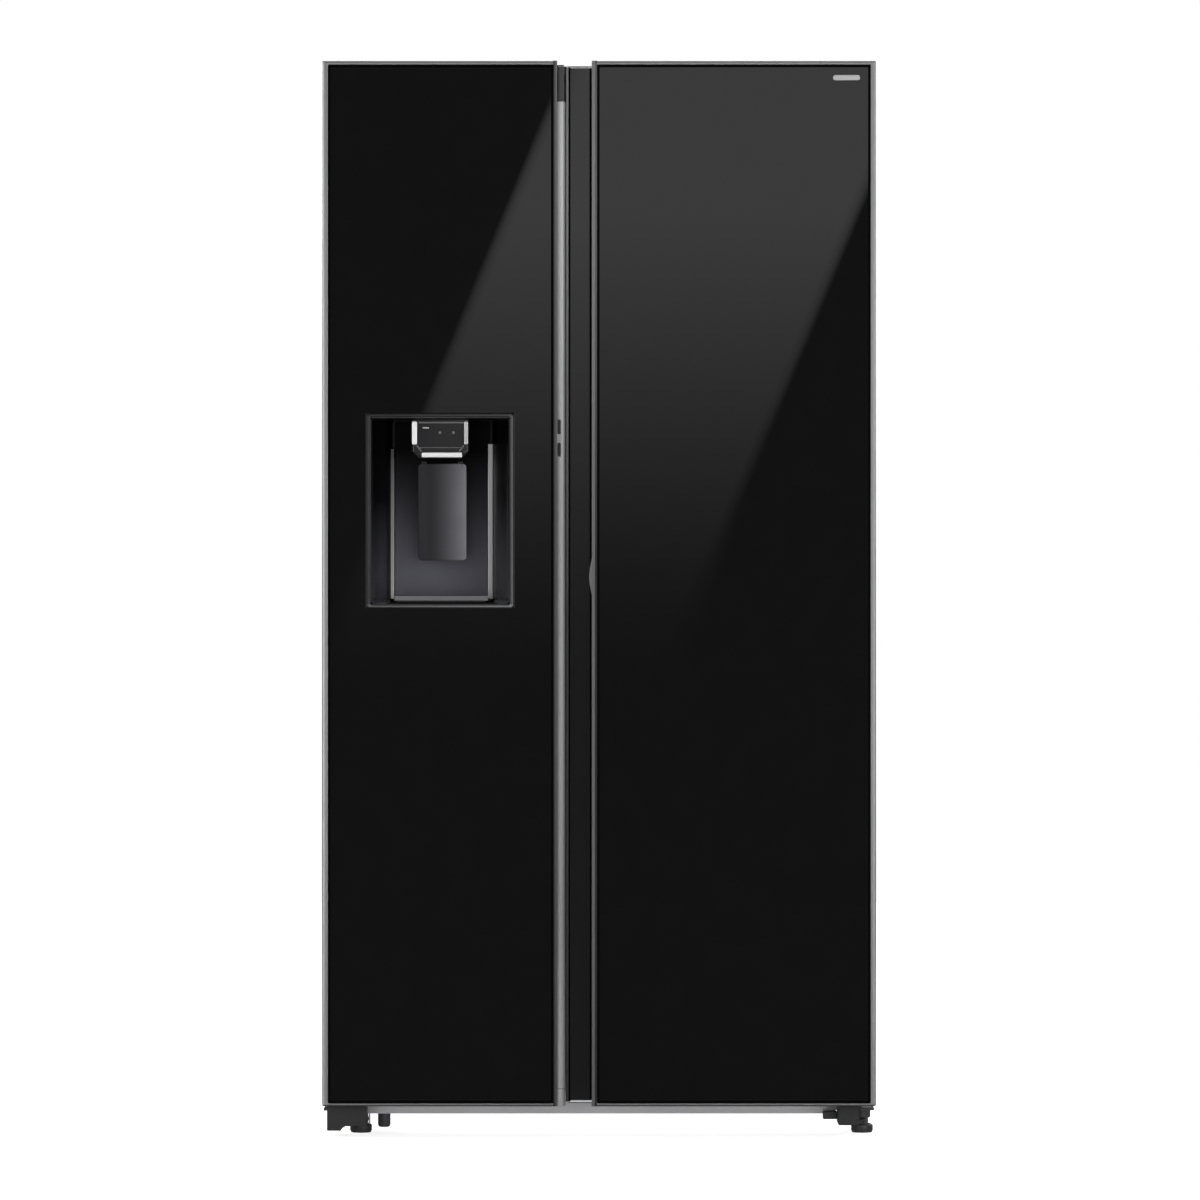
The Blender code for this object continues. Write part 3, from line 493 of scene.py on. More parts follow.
def dress(node, look, ease=0.0):
    """A CAD node that stays, with a better material and eased edges."""
    obj = frame["nodes"][node]
    material = LOOKS[look] if isinstance(look, str) else look
    obj.data.materials.clear()
    obj.data.materials.append(material)
    if ease:
        join = obj.modifiers.new("join", "WELD")
        join.merge_threshold = 0.00002
        soften(obj, ease)
        even_normals(obj)


# ---------------------------------------------------------------- stage


def camera():
    """Straight on to the doors from far away, level with the middle of the view."""
    height = 0.8855
    distance = 12.0
    width = 1.975
    data = bpy.data.cameras.new("camera")
    data.sensor_width = 36
    data.lens = 36 * distance / width
    data.clip_end = 100
    obj = add_object("camera", data)
    obj.location = (0.0016, FRONT - distance, height)
    obj.rotation_euler = (pi / 2, 0, 0)
    bpy.context.scene.camera = obj
    return distance, height


WORLD_FILL = 0.45
WORLD_GLOSS = 0.135


def world():
    """White behind the object, dim in mirrors, and an even fill on matt surfaces."""
    sky = bpy.data.worlds.new("studio")
    bpy.context.scene.world = sky
    sky.use_nodes = True
    nodes, links = sky.node_tree.nodes, sky.node_tree.links
    background = nodes["Background"]
    path = nodes.new("ShaderNodeLightPath")
    fill = nodes.new("ShaderNodeMix")
    fill.inputs["A"].default_value = WORLD_FILL
    fill.inputs["B"].default_value = WORLD_GLOSS
    links.new(path.outputs["Is Glossy Ray"], fill.inputs["Factor"])
    seen = nodes.new("ShaderNodeMix")
    seen.inputs["B"].default_value = 1.0
    links.new(path.outputs["Is Camera Ray"], seen.inputs["Factor"])
    links.new(fill.outputs["Result"], seen.inputs["A"])
    links.new(seen.outputs["Result"], background.inputs["Strength"])
    background.inputs["Color"].default_value = (1, 1, 1, 1)


def softbox(name, place, aim, size, power, spread=180):
    data = bpy.data.lights.new(name, "AREA")
    data.shape = "RECTANGLE"
    data.size, data.size_y = size
    data.energy = power
    data.spread = radians(spread)
    obj = add_object(name, data)
    obj.location = place
    obj.rotation_euler = (Vector(aim) - Vector(place)).to_track_quat("-Z", "Y").to_euler()
    obj.visible_camera = False


def light_card(distance, height):
    """A slanted glowing card in front of the doors, whose mirror image is the band across the glass."""
    away = 3.0
    grow = (distance + away) / distance
    rise_per_side = 2.43
    lean = 1 / rise_per_side
    left_foot, right_foot = -0.7750, -0.2065
    z_range = (0.60, 1.90)
    columns, rows = 60, 60
    bm = bmesh.new()
    glow = bm.verts.layers.float.new("glow")
    grid = []
    for row in range(rows + 1):
        z = z_range[0] + (z_range[1] - z_range[0]) * row / rows
        soft = 0.004 + 0.20 * max(0.0, (1.20 - z)) ** 1.3
        line = []
        for column in range(columns + 1):
            share = -0.15 + 1.3 * column / columns
            x = left_foot + lean * z + (right_foot - left_foot) * share
            edge = min(share, 1 - share) * (right_foot - left_foot)
            strength = card_strength(z) * min(max(edge / soft + 0.5, 0), 1)
            corner = bm.verts.new((x * grow, FRONT - away, height + (z - height) * grow))
            corner[glow] = strength
            line.append(corner)
        grid.append(line)
    for near, far in zip(grid, grid[1:]):
        for a, b, c, d in zip(near, near[1:], far[1:], far):
            bm.faces.new((a, b, c, d))
    mesh = bpy.data.meshes.new("light_card")
    bm.to_mesh(mesh)
    bm.free()
    material = bpy.data.materials.new("light_card")
    material.use_nodes = True
    nodes, links = material.node_tree.nodes, material.node_tree.links
    nodes.clear()
    emission = nodes.new("ShaderNodeEmission")
    clear = nodes.new("ShaderNodeBsdfTransparent")
    both = nodes.new("ShaderNodeAddShader")
    out = nodes.new("ShaderNodeOutputMaterial")
    value = nodes.new("ShaderNodeAttribute")
    value.attribute_name = "glow"
    links.new(value.outputs["Fac"], emission.inputs["Strength"])
    links.new(emission.outputs["Emission"], both.inputs[0])
    links.new(clear.outputs["BSDF"], both.inputs[1])
    links.new(both.outputs["Shader"], out.inputs["Surface"])
    obj = add_object("light_card", mesh)
    mesh.materials.append(material)
    obj.visible_camera = False
    obj.visible_diffuse = False
    obj.visible_shadow = False


def card_strength(z):
    """Brighter upwards: nothing at `dark` height and full from `full` height."""
    dark, full = 0.72, 1.52
    rise = max(0.0, min(1.0, (z - dark) / (full - dark)))
    return 0.92 * rise ** 2.0 * (1 + 0.6 * (1 - rise))


def floor():
    """A pale floor that stays white in the camera's view."""
    reach = 9.0
    corners = [(-reach, -reach, 0), (reach, -reach, 0), (reach, reach, 0), (-reach, reach, 0)]
    mesh = bpy.data.meshes.new("floor")
    mesh.from_pydata(corners, [], [(0, 1, 2, 3)])
    obj = add_object("floor", mesh)
    material, nodes, links, shader = socket_tree("floor")
    drift = remap(nodes, links, noise(nodes, links, 3), 0, 1)
    links.new(blend_colours(nodes, links, drift, (0.88, 0.88, 0.88), (0.92, 0.92, 0.92)),
              shader.inputs["Base Color"])
    shader.inputs["Roughness"].default_value = 0.9
    shader.inputs["Emission Color"].default_value = (1, 1, 1, 1)
    shader.inputs["Emission Strength"].default_value = 0.74
    mesh.materials.append(material)
    obj.visible_glossy = False


def stage():
    distance, height = camera()
    world()
    floor()
    light_card(distance, height)
    aim = (0, FRONT, 0.9)
    for side, label in ((-1, "left"), (1, "right")):
        softbox(f"strip_{label}", (side * 1.35, -4.6, 1.05), (side * 0.2, FRONT, 0.9), (0.8, 2.2), 15)
        softbox(f"low_{side}", (side * 1.35, -4.6, 0.24), (side * 0.2, FRONT, 0.1), (0.8, 0.42), 5)
    softbox("left", (-3.4, -4.0, 1.6), aim, (1.6, 2.4), 32)
    softbox("right", (3.2, -4.2, 1.4), aim, (1.6, 2.4), 42)
    softbox("over", (0.0, 0.8, 4.5), (0, 0, 1.2), (3.0, 2.5), 110)
    softbox("back_left", (-4.0, 3.4, 2.6), (0, 0.3, 0.9), (2.2, 2.2), 120)
    softbox("back_right", (4.0, 3.2, 2.2), (0, 0.3, 0.9), (2.2, 2.2), 120)
    view = bpy.context.scene.view_settings
    view.view_transform = "Standard"


# ---------------------------------------------------------------- door faces


def trim_section(y, inner_lip=0.0012):
    """Rounded outer corner, a flat front and a small eased inner edge."""
    r = 0.0028
    arc = [("outer", r * (1 - sin(a)), y[0] + r * (1 - cos(a))) for a in (pi / 2, pi / 3, pi / 6, 0)]
    return (
        ("outer", 0, y[1]),
        *arc,
        ("inner", inner_lip, y[0]),
        ("inner", inner_lip * 0.3, y[0] + inner_lip * 0.3),
        ("inner", 0, y[0] + inner_lip),
        ("inner", 0, y[1]),
    )


def door_face(name, body, trim, glass, hole=None, lip=(0.0011, 0.0011), trim_look="grey_trim"):
    """The satin trim, a dark bead inside it and the glass, set back a hair inside the trim."""
    tx, ty, tz = spans(trim)
    gx, gy, gz = spans(glass)
    gx, gz = (gx[0] - lip[0], gx[1] + lip[1]), shrink(gz, -0.0003)
    trim_skin = ring((tx, tz), (gx, gz), trim_section(ty))
    piece(f"{name}_trim", [trim_skin], trim_look, body, (trim,))
    bead = 0.0042
    border = rim_ring(gx, gz, bead, (gy[0] + 0.0005, gy[0] + 0.0009), 0.0001, (0.0015, 0.001))
    piece(f"{name}_bead", [border], "border", body)
    px, pz = shrink(gx, 0.0012), shrink(gz, 0.0002)
    pane_y = (gy[0] + 0.0008, gy[1])
    if hole:
        pane = plate_ring((px, pz), hole, pane_y, 0.0005, (0.001, 0.001))
    else:
        pane = block(px, pane_y, pz, 0.0005, 0.001)
    piece(f"{name}_pane", [pane], "black_glass", body, (glass,), crease=12)


def paint_top_reflection(look):
    """Painted reflection: the groove's metals are made brighter towards the top, standing in for their walls
    seeing more of the room there.
    """
    return along(look, "Z", 1.05, 1.62, 0.72, 1.15)


def groove_trims():
    """Extrusions beside the groove in darker copies of the trim metal, as painted shade: one darkens further
    away from the grip, one has a sunk lip painted darker still.
    """
    fx, fy, fz = spans("freezer_door_trim")
    start, end = spans("freezer_door_glass")[0][1] + 0.0007, fx[1] + 0.0002
    # Painted shade: a dark copy of the trim metal, darkest at its edge by the glass, with a painted
    # reflection brighter towards the top.
    look = brushed("groove_shade", 0.16, 0.163, 0.42, 0.03)
    along(look, "X", start - 0.0004, start + 0.0042, 0.02, 1)
    paint_top_reflection(look)
    band = block((start, end), (fy[0] - 0.0005, fy[0] + 0.0070), shrink(fz, 0.0002), 0.0004)
    piece("freezer_groove_trim", [band], look, "freezer_door")
    sx, sy, sz = spans("showcase_trim")
    lip_end = spans("showcase_glass")[0][0] - 0.0011
    sz = shrink(sz, 0.0002)
    band = block((sx[0], sx[0] + 0.0052), (sy[0] - 0.0004, sy[0] + 0.0060), sz, 0.0006)
    # Painted shade and reflection: a dark copy of the trim metal, made brighter towards the top.
    look = brushed("showcase_band", 0.17, 0.173, 0.38)
    along(look, "Z", 0.95, 1.62, 1, 1.5)
    piece("showcase_groove_trim", [band], look, "showcase_door")
    lip = block((sx[0] + 0.0048, lip_end), (sy[0] - 0.0002, sy[0] + 0.0050), sz, 0.0003)
    # Painted shade: the sunk lip is a near-black copy of the trim metal, with a painted reflection
    # brightening it towards the top.
    look = brushed("showcase_lip", 0.045, 0.047, 0.45, 0.03)
    along(look, "Z", 0.95, 1.50, 1, 3.4)
    piece("showcase_groove_lip", [lip], look, "showcase_door")


def badge():
    """A plain raised bar near the top corner of the showcase door."""
    x, y, z = spans("showcase_glass")
    bar_x = (x[1] - 0.0600, x[1] - 0.0155)
    bar_z = (z[1] - 0.0255, z[1] - 0.0165)
    bar = block(bar_x, (y[0] - 0.0006, y[0] + 0.0012), bar_z, 0.0005, 0.0035)
    piece("badge_bar", [bar], "silver", "showcase_door")


def door_core_look(name, split, dark=(0.055, 0.056, 0.06)):
    """White liner behind `split`, painted casing in front of it."""
    look = surface(name, (0.72, 0.73, 0.74), 0.36, 0, 0.02, 6, 1000, 0.05, 0.15, 0.00006)
    return along(look, "Y", split - 0.0001, split + 0.0001, dark, 1)


def freezer_door():
    body = "freezer_door"
    hx, _, hz = spans("dispenser_frame")
    # Painted highlight: the trim is brightened over its outer 4.5 mm on the hinge side.
    look = brushed("freezer_edge", 0.31, 0.314, 0.36)
    edge = spans("freezer_door_trim")[0][0]
    along(look, "X", edge, edge + 0.0045, 2.4, 1)
    door_face("freezer_face", body, "freezer_door_trim", "freezer_door_glass", (hx, hz), trim_look=look)
    rear = spans("freezer_door_gasket")[1][0]
    dress("freezer_door_core", door_core_look("freezer_core", rear - 0.003), 0.0010)
    core_top = spans("freezer_door_core")[2][1]
    cap = block((-0.3740, -0.0710), (CAP_FRONT, rear - 0.0020), (core_top - 0.0006, core_top + 0.0014),
                0.0008, 0.004, "Z")
    foot_cap = block((-0.3980, -0.0710), (CAP_FRONT, rear - 0.0020), (0.0526, 0.0546), 0.0008, 0.004, "Z")
    piece("freezer_caps", [cap, foot_cap], "dark_plastic", body)
    gasket("freezer_seal", "freezer_door_gasket", body)
    for node in ("freezer_bin_lower", "freezer_bin_upper"):
        door_tray(node, body)


def gasket(name, node, body):
    """A magnetic seal: a fixed foot, a folded bellows and a flat face."""
    x, y, z = spans(node)
    width = 0.018 if y[1] - y[0] > 0.008 else 0.012
    outer, inner = (x, z), (shrink(x, width), shrink(z, width))
    front, back = y
    depth = back - front
    foot = ((width * 0.25, front), (width * 0.25, front + depth * 0.15))
    bellows = ((0.0006, front + depth * 0.35), (width * 0.16, front + depth * 0.52),
               (0.0, front + depth * 0.68))
    face = ((0.0, back - depth * 0.08), (width * 0.06, back))
    section = both_edges((*foot, *bellows, *face))
    piece(name, [ring(outer, inner, section, (0.010, 0.004))], "gasket_rubber", body, (node,), crease=60)


def door_tray(node, body):
    x, y, z = spans(node)
    bin_skin = tray(x, y, z, radius=0.016, lip=0.0025, draft=0.003, foot=0.010)
    piece(f"{node}_tray", [bin_skin], "clear_plastic", body, (node,))
    rail_z = (z[1] - 0.020, z[1] - 0.006)
    rail = block(shrink(x, 0.004), (y[1] - 0.0035, y[1] + 0.0015), rail_z, 0.0012)
    piece(f"{node}_rail", [rail], "silver", body)


def handle():
    """Aluminium grip whose nose falls away to the right, with an end cap, a foot and a two-key insert."""
    body = "freezer_door"
    x, y, z = spans("freezer_handle")
    left, right = x[0] - 0.0004, x[1] + 0.0024
    front = y[0] - 0.0032
    peak, crown = 0.06, 0.0040
    outline = [(left, y[1])]
    for i in range(17):
        share = i / 16
        bend = ((share - peak) / (1 - peak)) ** 2 if share > peak else 0.03 * ((peak - share) / peak) ** 2
        outline.append((left + (right - left) * share, front + crown * bend))
    outline.append((right, y[1]))
    seam = z[0] + 0.029
    gap = 0.0004
    # Painted reflection: the grip's metal is brightened towards the top and again near its foot.
    look = paint_top_reflection(brushed("grip_metal", 0.27, 0.273, 0.36))
    along(look, "Z", z[0], z[0] + 0.30, 1.7, 1)
    piece("handle_grip", [slab(outline, "Z", seam + gap, z[1])], look, body, ("freezer_handle",), crease=30)
    piece("handle_foot", [slab(outline, "Z", z[0] + 0.0005, seam - gap)], look, body, crease=30)
    core_top = spans("freezer_door_core")[2][1]
    cap = block((x[0] + 0.0002, right - 0.0014), (y[0] + 0.008, y[1] + 0.010),
                (z[1] - 0.002, core_top - 0.0055), 0.0018)
    piece("handle_end_cap", [cap], "dark_trim", body)
    slot_z = (z[0] + 1.069, z[0] + 1.131)
    strip = block((x[0] - 0.0010, x[0] + 0.0070), (front - 0.0008, y[0] + 0.004), slot_z, 0.0008, 0.003)
    piece("handle_insert", [strip], "grey_trim", body)
    wells = []
    for low, high in ((slot_z[0] + 0.001, slot_z[0] + 0.0235), (slot_z[1] - 0.0245, slot_z[1] - 0.001)):
        wells.append(block((x[0] + 0.0002, x[0] + 0.0058), (front - 0.0012, y[0] + 0.002), (low, high),
                           0.0003, 0.0019))
    piece("handle_insert_wells", wells, "gloss_plastic", body)


# ---------------------------------------------------------------- dispenser


def dispenser():
    body = "freezer_door"
    x, y, z = spans("dispenser_frame")
    z = (z[0] - 0.0004, z[1])
    opening = (shrink(x, 0.006), shrink(z, 0.006))
    section = trim_section((y[0] - 0.0006, y[1]), 0.0018)
    # Painted shade and highlight: the surround darkens towards its left side and gets a painted highlight
    # along the lower edge of its opening.
    look = brushed("surround", 0.10, 0.103, 0.42, 0.03)
    along(look, "X", x[0], x[1], 0.5, 1)
    along(look, "Z", z[0] + 0.0058, z[0] + 0.0070, 2.6, 1)
    surround = ring((x, z), opening, section, (0.006, 0.004))
    piece("dispenser_surround", [surround], look, body, ("dispenser_frame",))
    bay()
    nozzle()
    paddle()
    drip()


def bay():
    """The recess: a rounded mouth, side walls that narrow to the back, and a U-shaped bead."""
    body = "freezer_door"
    x, y, z = spans("dispenser_bay")
    x, z = shrink(x, 0.002), shrink(z, 0.002)
    back_x = shrink(x, 0.0310, 0.0275)
    mouth = y[0]
    back = y[1] - 0.002
    loops = []
    for depth, share, radius in ((0, 0, 0.004), (0.3, 0.22, 0.006), (0.8, 0.85, 0.006), (1.0, 1.0, 0.005)):
        xs = (x[0] + (back_x[0] - x[0]) * share, x[1] + (back_x[1] - x[1]) * share)
        loops.append(level(rounded(xs, z, radius, 6), mouth + (back - mouth) * depth, "Y"))
    outline = rounded(shrink(x, -0.0018), shrink(z, -0.0018), 0.005, 6)
    outside = [level(outline, at, "Y") for at in (mouth, back + 0.0015)]
    shell = skin([*reversed(outside), *loops])
    # Painted shade: the side walls darken towards the top of the recess, go black in a strip beside the bead
    # with a lighter band beyond it, and darken again towards the mouth.
    wall = surface("bay_wall", (0.038, 0.038, 0.042), 0.24, 0, 0.06, 20, 900, 0.04, 0.04, 0.00005, fixed=DULL)
    along(wall, "Z", z[0], z[0] + 0.17, (1.0, 1.0, 1.05), (0.05, 0.05, 0.055))
    centre, half = middle(back_x), (back_x[1] - back_x[0]) / 2
    along(wall, "X", half + 0.0045, half + 0.0110, 0.05, 1.3, centre)
    along(wall, "X", half + 0.0170, half + 0.0280, 1, 0.5, centre)
    piece("dispenser_recess", [shell], wall, body, ("dispenser_bay",))
    matt = (("Specular IOR Level", 0.04),)
    # Painted shade: the back is darkened towards the top and towards its right side, lightest low down.
    rear = surface("bay_rear", (0.085, 0.085, 0.096), 0.30, 0, 0.06, 20, 900, 0.04, 0.04, 0.00005, fixed=matt)
    along(rear, "Z", z[0], z[1] - 0.05, (1.22, 1.2, 1.28), 0.0)
    along(rear, "Z", z[0], z[0] + 0.20, 1.35, 0.5)
    along(rear, "X", *back_x, 1.1, 0.7)
    plate = block(shrink(back_x, 0.004), (back - 0.0012, back - 0.0002), shrink(z, 0.006, 0.002), 0.0004,
                  0.004)
    piece("dispenser_back", [plate], rear, body)
    bead_top = z[1] - 0.046
    low = z[0] + 0.0050
    front = back - 0.0045
    # Painted highlight: the left bead is bright low down and fades to dark towards its top.
    left_bar = brushed("bead_left", 0.33, 0.334, 0.36)
    along(left_bar, "Z", low, bead_top, 1, 0.16)
    bar = block((back_x[0] - 0.0046, back_x[0] + 0.0037), (front - 0.0040, back), (low, bead_top), 0.0020,
                0.0020)
    piece("dispenser_bead_left", [bar], left_bar, body)
    bar = block((back_x[1] - 0.0080, back_x[1] + 0.0020), (front - 0.0020, back), (low, bead_top + 0.008),
                0.0020, 0.0020)
    piece("dispenser_bead_right", [bar], "grey_trim", body)
    sill = block(shrink(back_x, 0.001), (front, back), (low - 0.0016, low + 0.0076), 0.0014, 0.0014)
    piece("dispenser_bead_low", [sill], "groove_metal", body)


def nozzle():
    """Spout housing: a dark face framed by bright bars, with its lower corners cut off."""
    body = "freezer_door"
    x, y, z = spans("dispenser_nozzle")
    cut = 0.012
    outline = [(x[0], z[1]), (x[1], z[1]), (x[1], z[0] + cut), (x[1] - cut, z[0]), (x[0] + cut, z[0]),
               (x[0], z[0] + cut)]
    inner = [(a + (0.003 if a < middle(x) else -0.003), max(b, z[0] + 0.003)) for a, b in outline]
    housing = skin([level(outline, y[1], "Y"), level(outline, y[0] + 0.004, "Y"),
                    level(inner, y[0] + 0.001, "Y")])
    piece("spout_housing", [housing], "gloss_plastic", body, ("dispenser_nozzle",), ease=0.0008)
    front = y[0] - 0.0006
    bar_z = shrink(z, 0.022, 0.003)
    bar_y, line_y = (front, y[0] + 0.006), (front + 0.0008, y[0] + 0.003)
    bars = [
        block((x[0] + 0.0005, x[0] + 0.0095), bar_y, bar_z, 0.0012, 0.0022),
        block(shrink(x, 0.0165, 0.0115), bar_y, (z[0] + 0.0010, z[0] + 0.0100), 0.0012, 0.0022),
    ]
    piece("spout_bars", bars, "bright_metal", body)
    right_bar = block((x[1] - 0.0085, x[1] - 0.0015), bar_y, bar_z, 0.0012, 0.0022)
    piece("spout_bar_right", [right_bar], "silver", body)
    lines = [
        block(shrink(x, 0.004), line_y, (z[1] + 0.0002, z[1] + 0.0034), 0.0008),
        block(shrink(x, 0.012, 0.008), line_y, (z[1] - 0.0072, z[1] - 0.0036), 0.0008),
        block(shrink(x, 0.012, 0.009), line_y, (z[0] + 0.0165, z[0] + 0.0185), 0.0006),
    ]
    for side, edge in ((1, x[0]), (-1, x[1])):
        slope = [(edge + side * 0.0075, z[0] + 0.021), (edge + side * 0.0105, z[0] + 0.021)]
        slope += [(edge + side * 0.0175, z[0] + 0.0115), (edge + side * 0.0145, z[0] + 0.0115)]
        lines.append(slab(slope, "Y", *line_y))
    piece("spout_lines", lines, "groove_metal", body)
    dash_x = (x[0] + 0.0185, x[0] + 0.0290)
    marks = [block(dash_x, (front + 0.0012, y[0] + 0.002), (z[1] - 0.0152, z[1] - 0.0128), 0.0003)]
    piece("spout_light", marks, "silver", body)
    dots = [turned([(0.0024, 0), (0.0024, 0.0016), (0, 0.0016)], (dot, y[0] + 0.0002, z[1] - 0.0220), "Y", 20)
            for dot in (x[0] + 0.0470, x[0] + 0.0690)]
    piece("spout_keys", dots, "groove_metal", body)


def paddle():
    """A gently bowed press plate with rounded corners and its pivot arms."""
    body = "dispenser_paddle"
    x, y, z = spans("dispenser_paddle")
    x = shrink(x, 0.0006, 0.0024)
    bow = 0.0030
    # Painted reflection: the plate brightens from a quarter of its width to its right edge.
    look = surface("paddle", (0.034, 0.034, 0.037), 0.30, 0, 0.05, 20, 900, 0.04, 0.05, 0.00005, fixed=DULL)
    start = x[0] + 0.25 * (x[1] - x[0])
    along(look, "X", start, x[1], (0.50, 0.50, 0.56), 1.7)
    along(look, "X", start, x[1], (0.50, 0.50, 0.52), 2.3)
    front = bowed_plate(x, z, y, bow)
    piece("press_plate", [front], look, body, ("dispenser_paddle",), crease=50)
    arms = []
    for side in (-1, 1):
        centre = middle(x) + side * 0.030
        arms.append(block(around(centre, 0.004), (y[0] + 0.001, y[1] + 0.004), (z[1] - 0.008, z[1] + 0.004),
                          0.001))
    piece("press_plate_arms", arms, "gloss_plastic", body)


def bowed_plate(x, z, y, bow, columns=14):
    """A plate of upright strips whose middle stands proud, with rounded corners and edges."""
    radius = 0.006
    thickness = 0.0042
    loops = []
    for i in range(columns + 1):
        share = -cos(pi * i / columns)
        u = middle(x) + share * (x[1] - x[0]) / 2
        reach = max(0.0, abs(u - middle(x)) - (x[1] - x[0]) / 2 + radius)
        trim = radius - (max(radius * radius - reach * reach, 0)) ** 0.5
        v = shrink(z, trim * 0.98)
        depth = y[0] + bow * share * share - 0.0010
        thin = thickness * (1 - 0.75 * abs(share) ** 6)
        section = rounded((depth, depth + thin), v, min(0.0012, thin / 2.2), 3)
        loops.append(level([(a, b) for a, b in section], u, "X"))
    return skin(loops)


def drip():
    """A shallow tray under a slotted grille."""
    body = "freezer_door"
    x, y, z = spans("drip_tray")
    piece("drip_pan", [tray(x, y, (z[0], z[1] - 0.001), 0.0015, 0.006, 0.001, 0.001, 0.002)],
          "dark_plastic", body, ("drip_tray",))
    bars = []
    count = 22
    for i in range(count):
        centre = x[0] + 0.008 + (x[1] - x[0] - 0.016) * i / (count - 1)
        bars.append(block(around(centre, 0.0016), shrink(y, 0.006), (z[1] - 0.003, z[1] - 0.0006), 0.0006))
    bars.append(block(shrink(x, 0.003), (y[0] + 0.0015, y[0] + 0.0075), (z[1] - 0.0040, z[1]), 0.001))
    bars.append(block(shrink(x, 0.003), (y[1] - 0.0075, y[1] - 0.0015), (z[1] - 0.0040, z[1]), 0.001))
    piece("drip_grille", bars, "dark_plastic", body)
    lip = block((x[0] - 0.001, x[1] + 0.001), (y[0] - 0.0012, y[0] + 0.001), (z[0] + 0.0028, z[1] + 0.0034),
                0.0007)
    piece("drip_lip", [lip], "groove_metal", body)


# ---------------------------------------------------------------- fridge doors


def inner_door():
    body = "inner_door"
    dress("inner_door_frame", "white_plastic", 0.0012)
    x, y, z = spans("inner_door_strip")
    strip = block(x, (y[0], y[1]), z, 0.0010, 0.0015)
    piece("groove_strip", [strip], "strip_gloss", body, ("inner_door_strip",), crease=20)
    # Painted shadow: a black strip beside the strip's right edge, under the showcase door.
    shade = block((x[1] - 0.0010, x[1] + 0.0090), (y[1] - 0.0022, y[1]), z, 0.0004)
    piece("groove_shade", [shade], "border", body)
    door_x, _, door_z = spans("inner_door_frame")
    edge_z = shrink(door_z, 0.001)
    edge = block((door_x[0] - 0.0018, door_x[0] + 0.0026), (y[0] - 0.0008, y[1] + 0.010), edge_z, 0.0007)
    # Painted reflection: the edge is darker low down and brighter towards the top.
    look = brushed("groove_edge", 0.17, 0.173, 0.38)
    along(look, "Z", 0.85, 1.60, 0.5, 1.9)
    piece("groove_edge", [edge], look, body)
    # Painted shadow: a black strip between the edge and the strip.
    shade = block((door_x[0] + 0.0020, x[0] + 0.0008), (y[1] - 0.0020, y[1]), edge_z, 0.0003)
    piece("groove_edge_shade", [shade], "border", body)
    gasket("inner_seal", "inner_door_gasket", body)
    for i in (1, 2, 3):
        door_tray(f"fridge_bin_{i}", body)
    front = spans("inner_door_gasket")[1][0] - 0.0468
    window = ((0.018, 0.382), (0.105, 1.695))
    outer = tuple(shrink(pair, -0.0045) for pair in window)
    inner = tuple(shrink(pair, -0.0004) for pair in window)
    rim = plate_ring(outer, inner, (front - 0.0017, front + 0.0010), 0.0007, (0.007, 0.004))
    piece("window_rim", [rim], "silver", body)
    cap = block((-0.0515, 0.3740), (front + 0.0015, -0.2655), (door_z[1] - 0.0006, door_z[1] + 0.0016),
                0.0008, 0.004, "Z")
    foot_cap = block((-0.0515, 0.3980), (front + 0.0015, -0.2655), (door_z[0] - 0.0016, door_z[0] + 0.0006),
                     0.0008, 0.004, "Z")
    piece("inner_door_caps", [cap, foot_cap], "dark_plastic", body)
    skin_y = (front + 0.0006, -0.2660)
    edge_x, notch_x, notch_z, low_z, half = 0.4502, 0.3747, 1.7355, 0.0580, 0.0005
    outer_skin = block(around(edge_x, half), skin_y, (low_z, notch_z - 0.0010), 0.0004)
    notch_skin = block(around(notch_x, half), skin_y, (notch_z + 0.0010, 1.7655), 0.0004)
    ledge_skin = block((notch_x + 0.0008, edge_x - 0.0007), skin_y, around(notch_z, half), 0.0004)
    free_skin = block(around(door_x[0] - 0.0002, half), skin_y, (low_z, 1.7645), 0.0004)
    piece("inner_door_skins", [outer_skin, notch_skin, free_skin], "case_paint", body)
    piece("inner_door_ledge", [ledge_skin], "case_paint", body)


def showcase_door():
    body = "showcase_door"
    door_face("showcase_face", body, "showcase_trim", "showcase_glass", lip=(0.0011, 0.0019))
    rear = spans("showcase_core")[1][1]
    dress("showcase_core", door_core_look("showcase_core_look", rear - 0.002), 0.0006)
    gasket("showcase_seal", "showcase_gasket", body)
    badge()
    x, y, z = spans("release_button")
    low, high = z[0] + 0.012, z[1]
    outline = [(x[1], high), (x[1], low)]
    for i in range(21):
        swell = sin(pi * i / 20) ** 1.2
        outline.append((x[0] + 0.0050 * (1 - swell), low + (high - low) * i / 20))
    piece("release_key", [slab(outline, "Y", *y)], "grey_trim", "release_button", ("release_button",),
          ease=0.0008)
    panel_x, panel_z = (0.024, 0.412), (0.100, 1.690)
    panel = block(panel_x, (rear - 0.0005, rear + 0.0022), panel_z, 0.0018, 0.018)
    flutes = []
    for i in range(9):
        at = panel_x[0] + 0.034 + (panel_x[1] - panel_x[0] - 0.068) * i / 8
        flutes.append(block(around(at, 0.006), (rear + 0.0010, rear + 0.0032), (0.130, 1.660), 0.0010, 0.005))
    piece("showcase_back", [panel, *flutes], "white_plastic", body)
    catch = block((-0.0095, -0.0012), (rear - 0.0005, rear + 0.0027), (0.900, 0.932), 0.0008, 0.002)
    piece("showcase_catch", [catch], "dark_plastic", body)
    cap = block((-0.0092, 0.3830), (CAP_FRONT, CAP_REAR), (1.7698, 1.7720), 0.0008, 0.004, "Z")
    foot_cap = block((-0.0092, 0.4350), (CAP_FRONT, CAP_REAR), (0.0640, 0.0664), 0.0008, 0.004, "Z")
    piece("showcase_caps", [cap, foot_cap], "dark_plastic", body)


# ---------------------------------------------------------------- cabinet shell


def side_sheets():
    for node in ("side_panel_left", "side_panel_right", "top_panel"):
        dress(node, "case_paint", 0.0005)
    dress("base_plate", "base_paint", 0.0003)
    dress("cabinet_foam", "insulation", 0.0004)


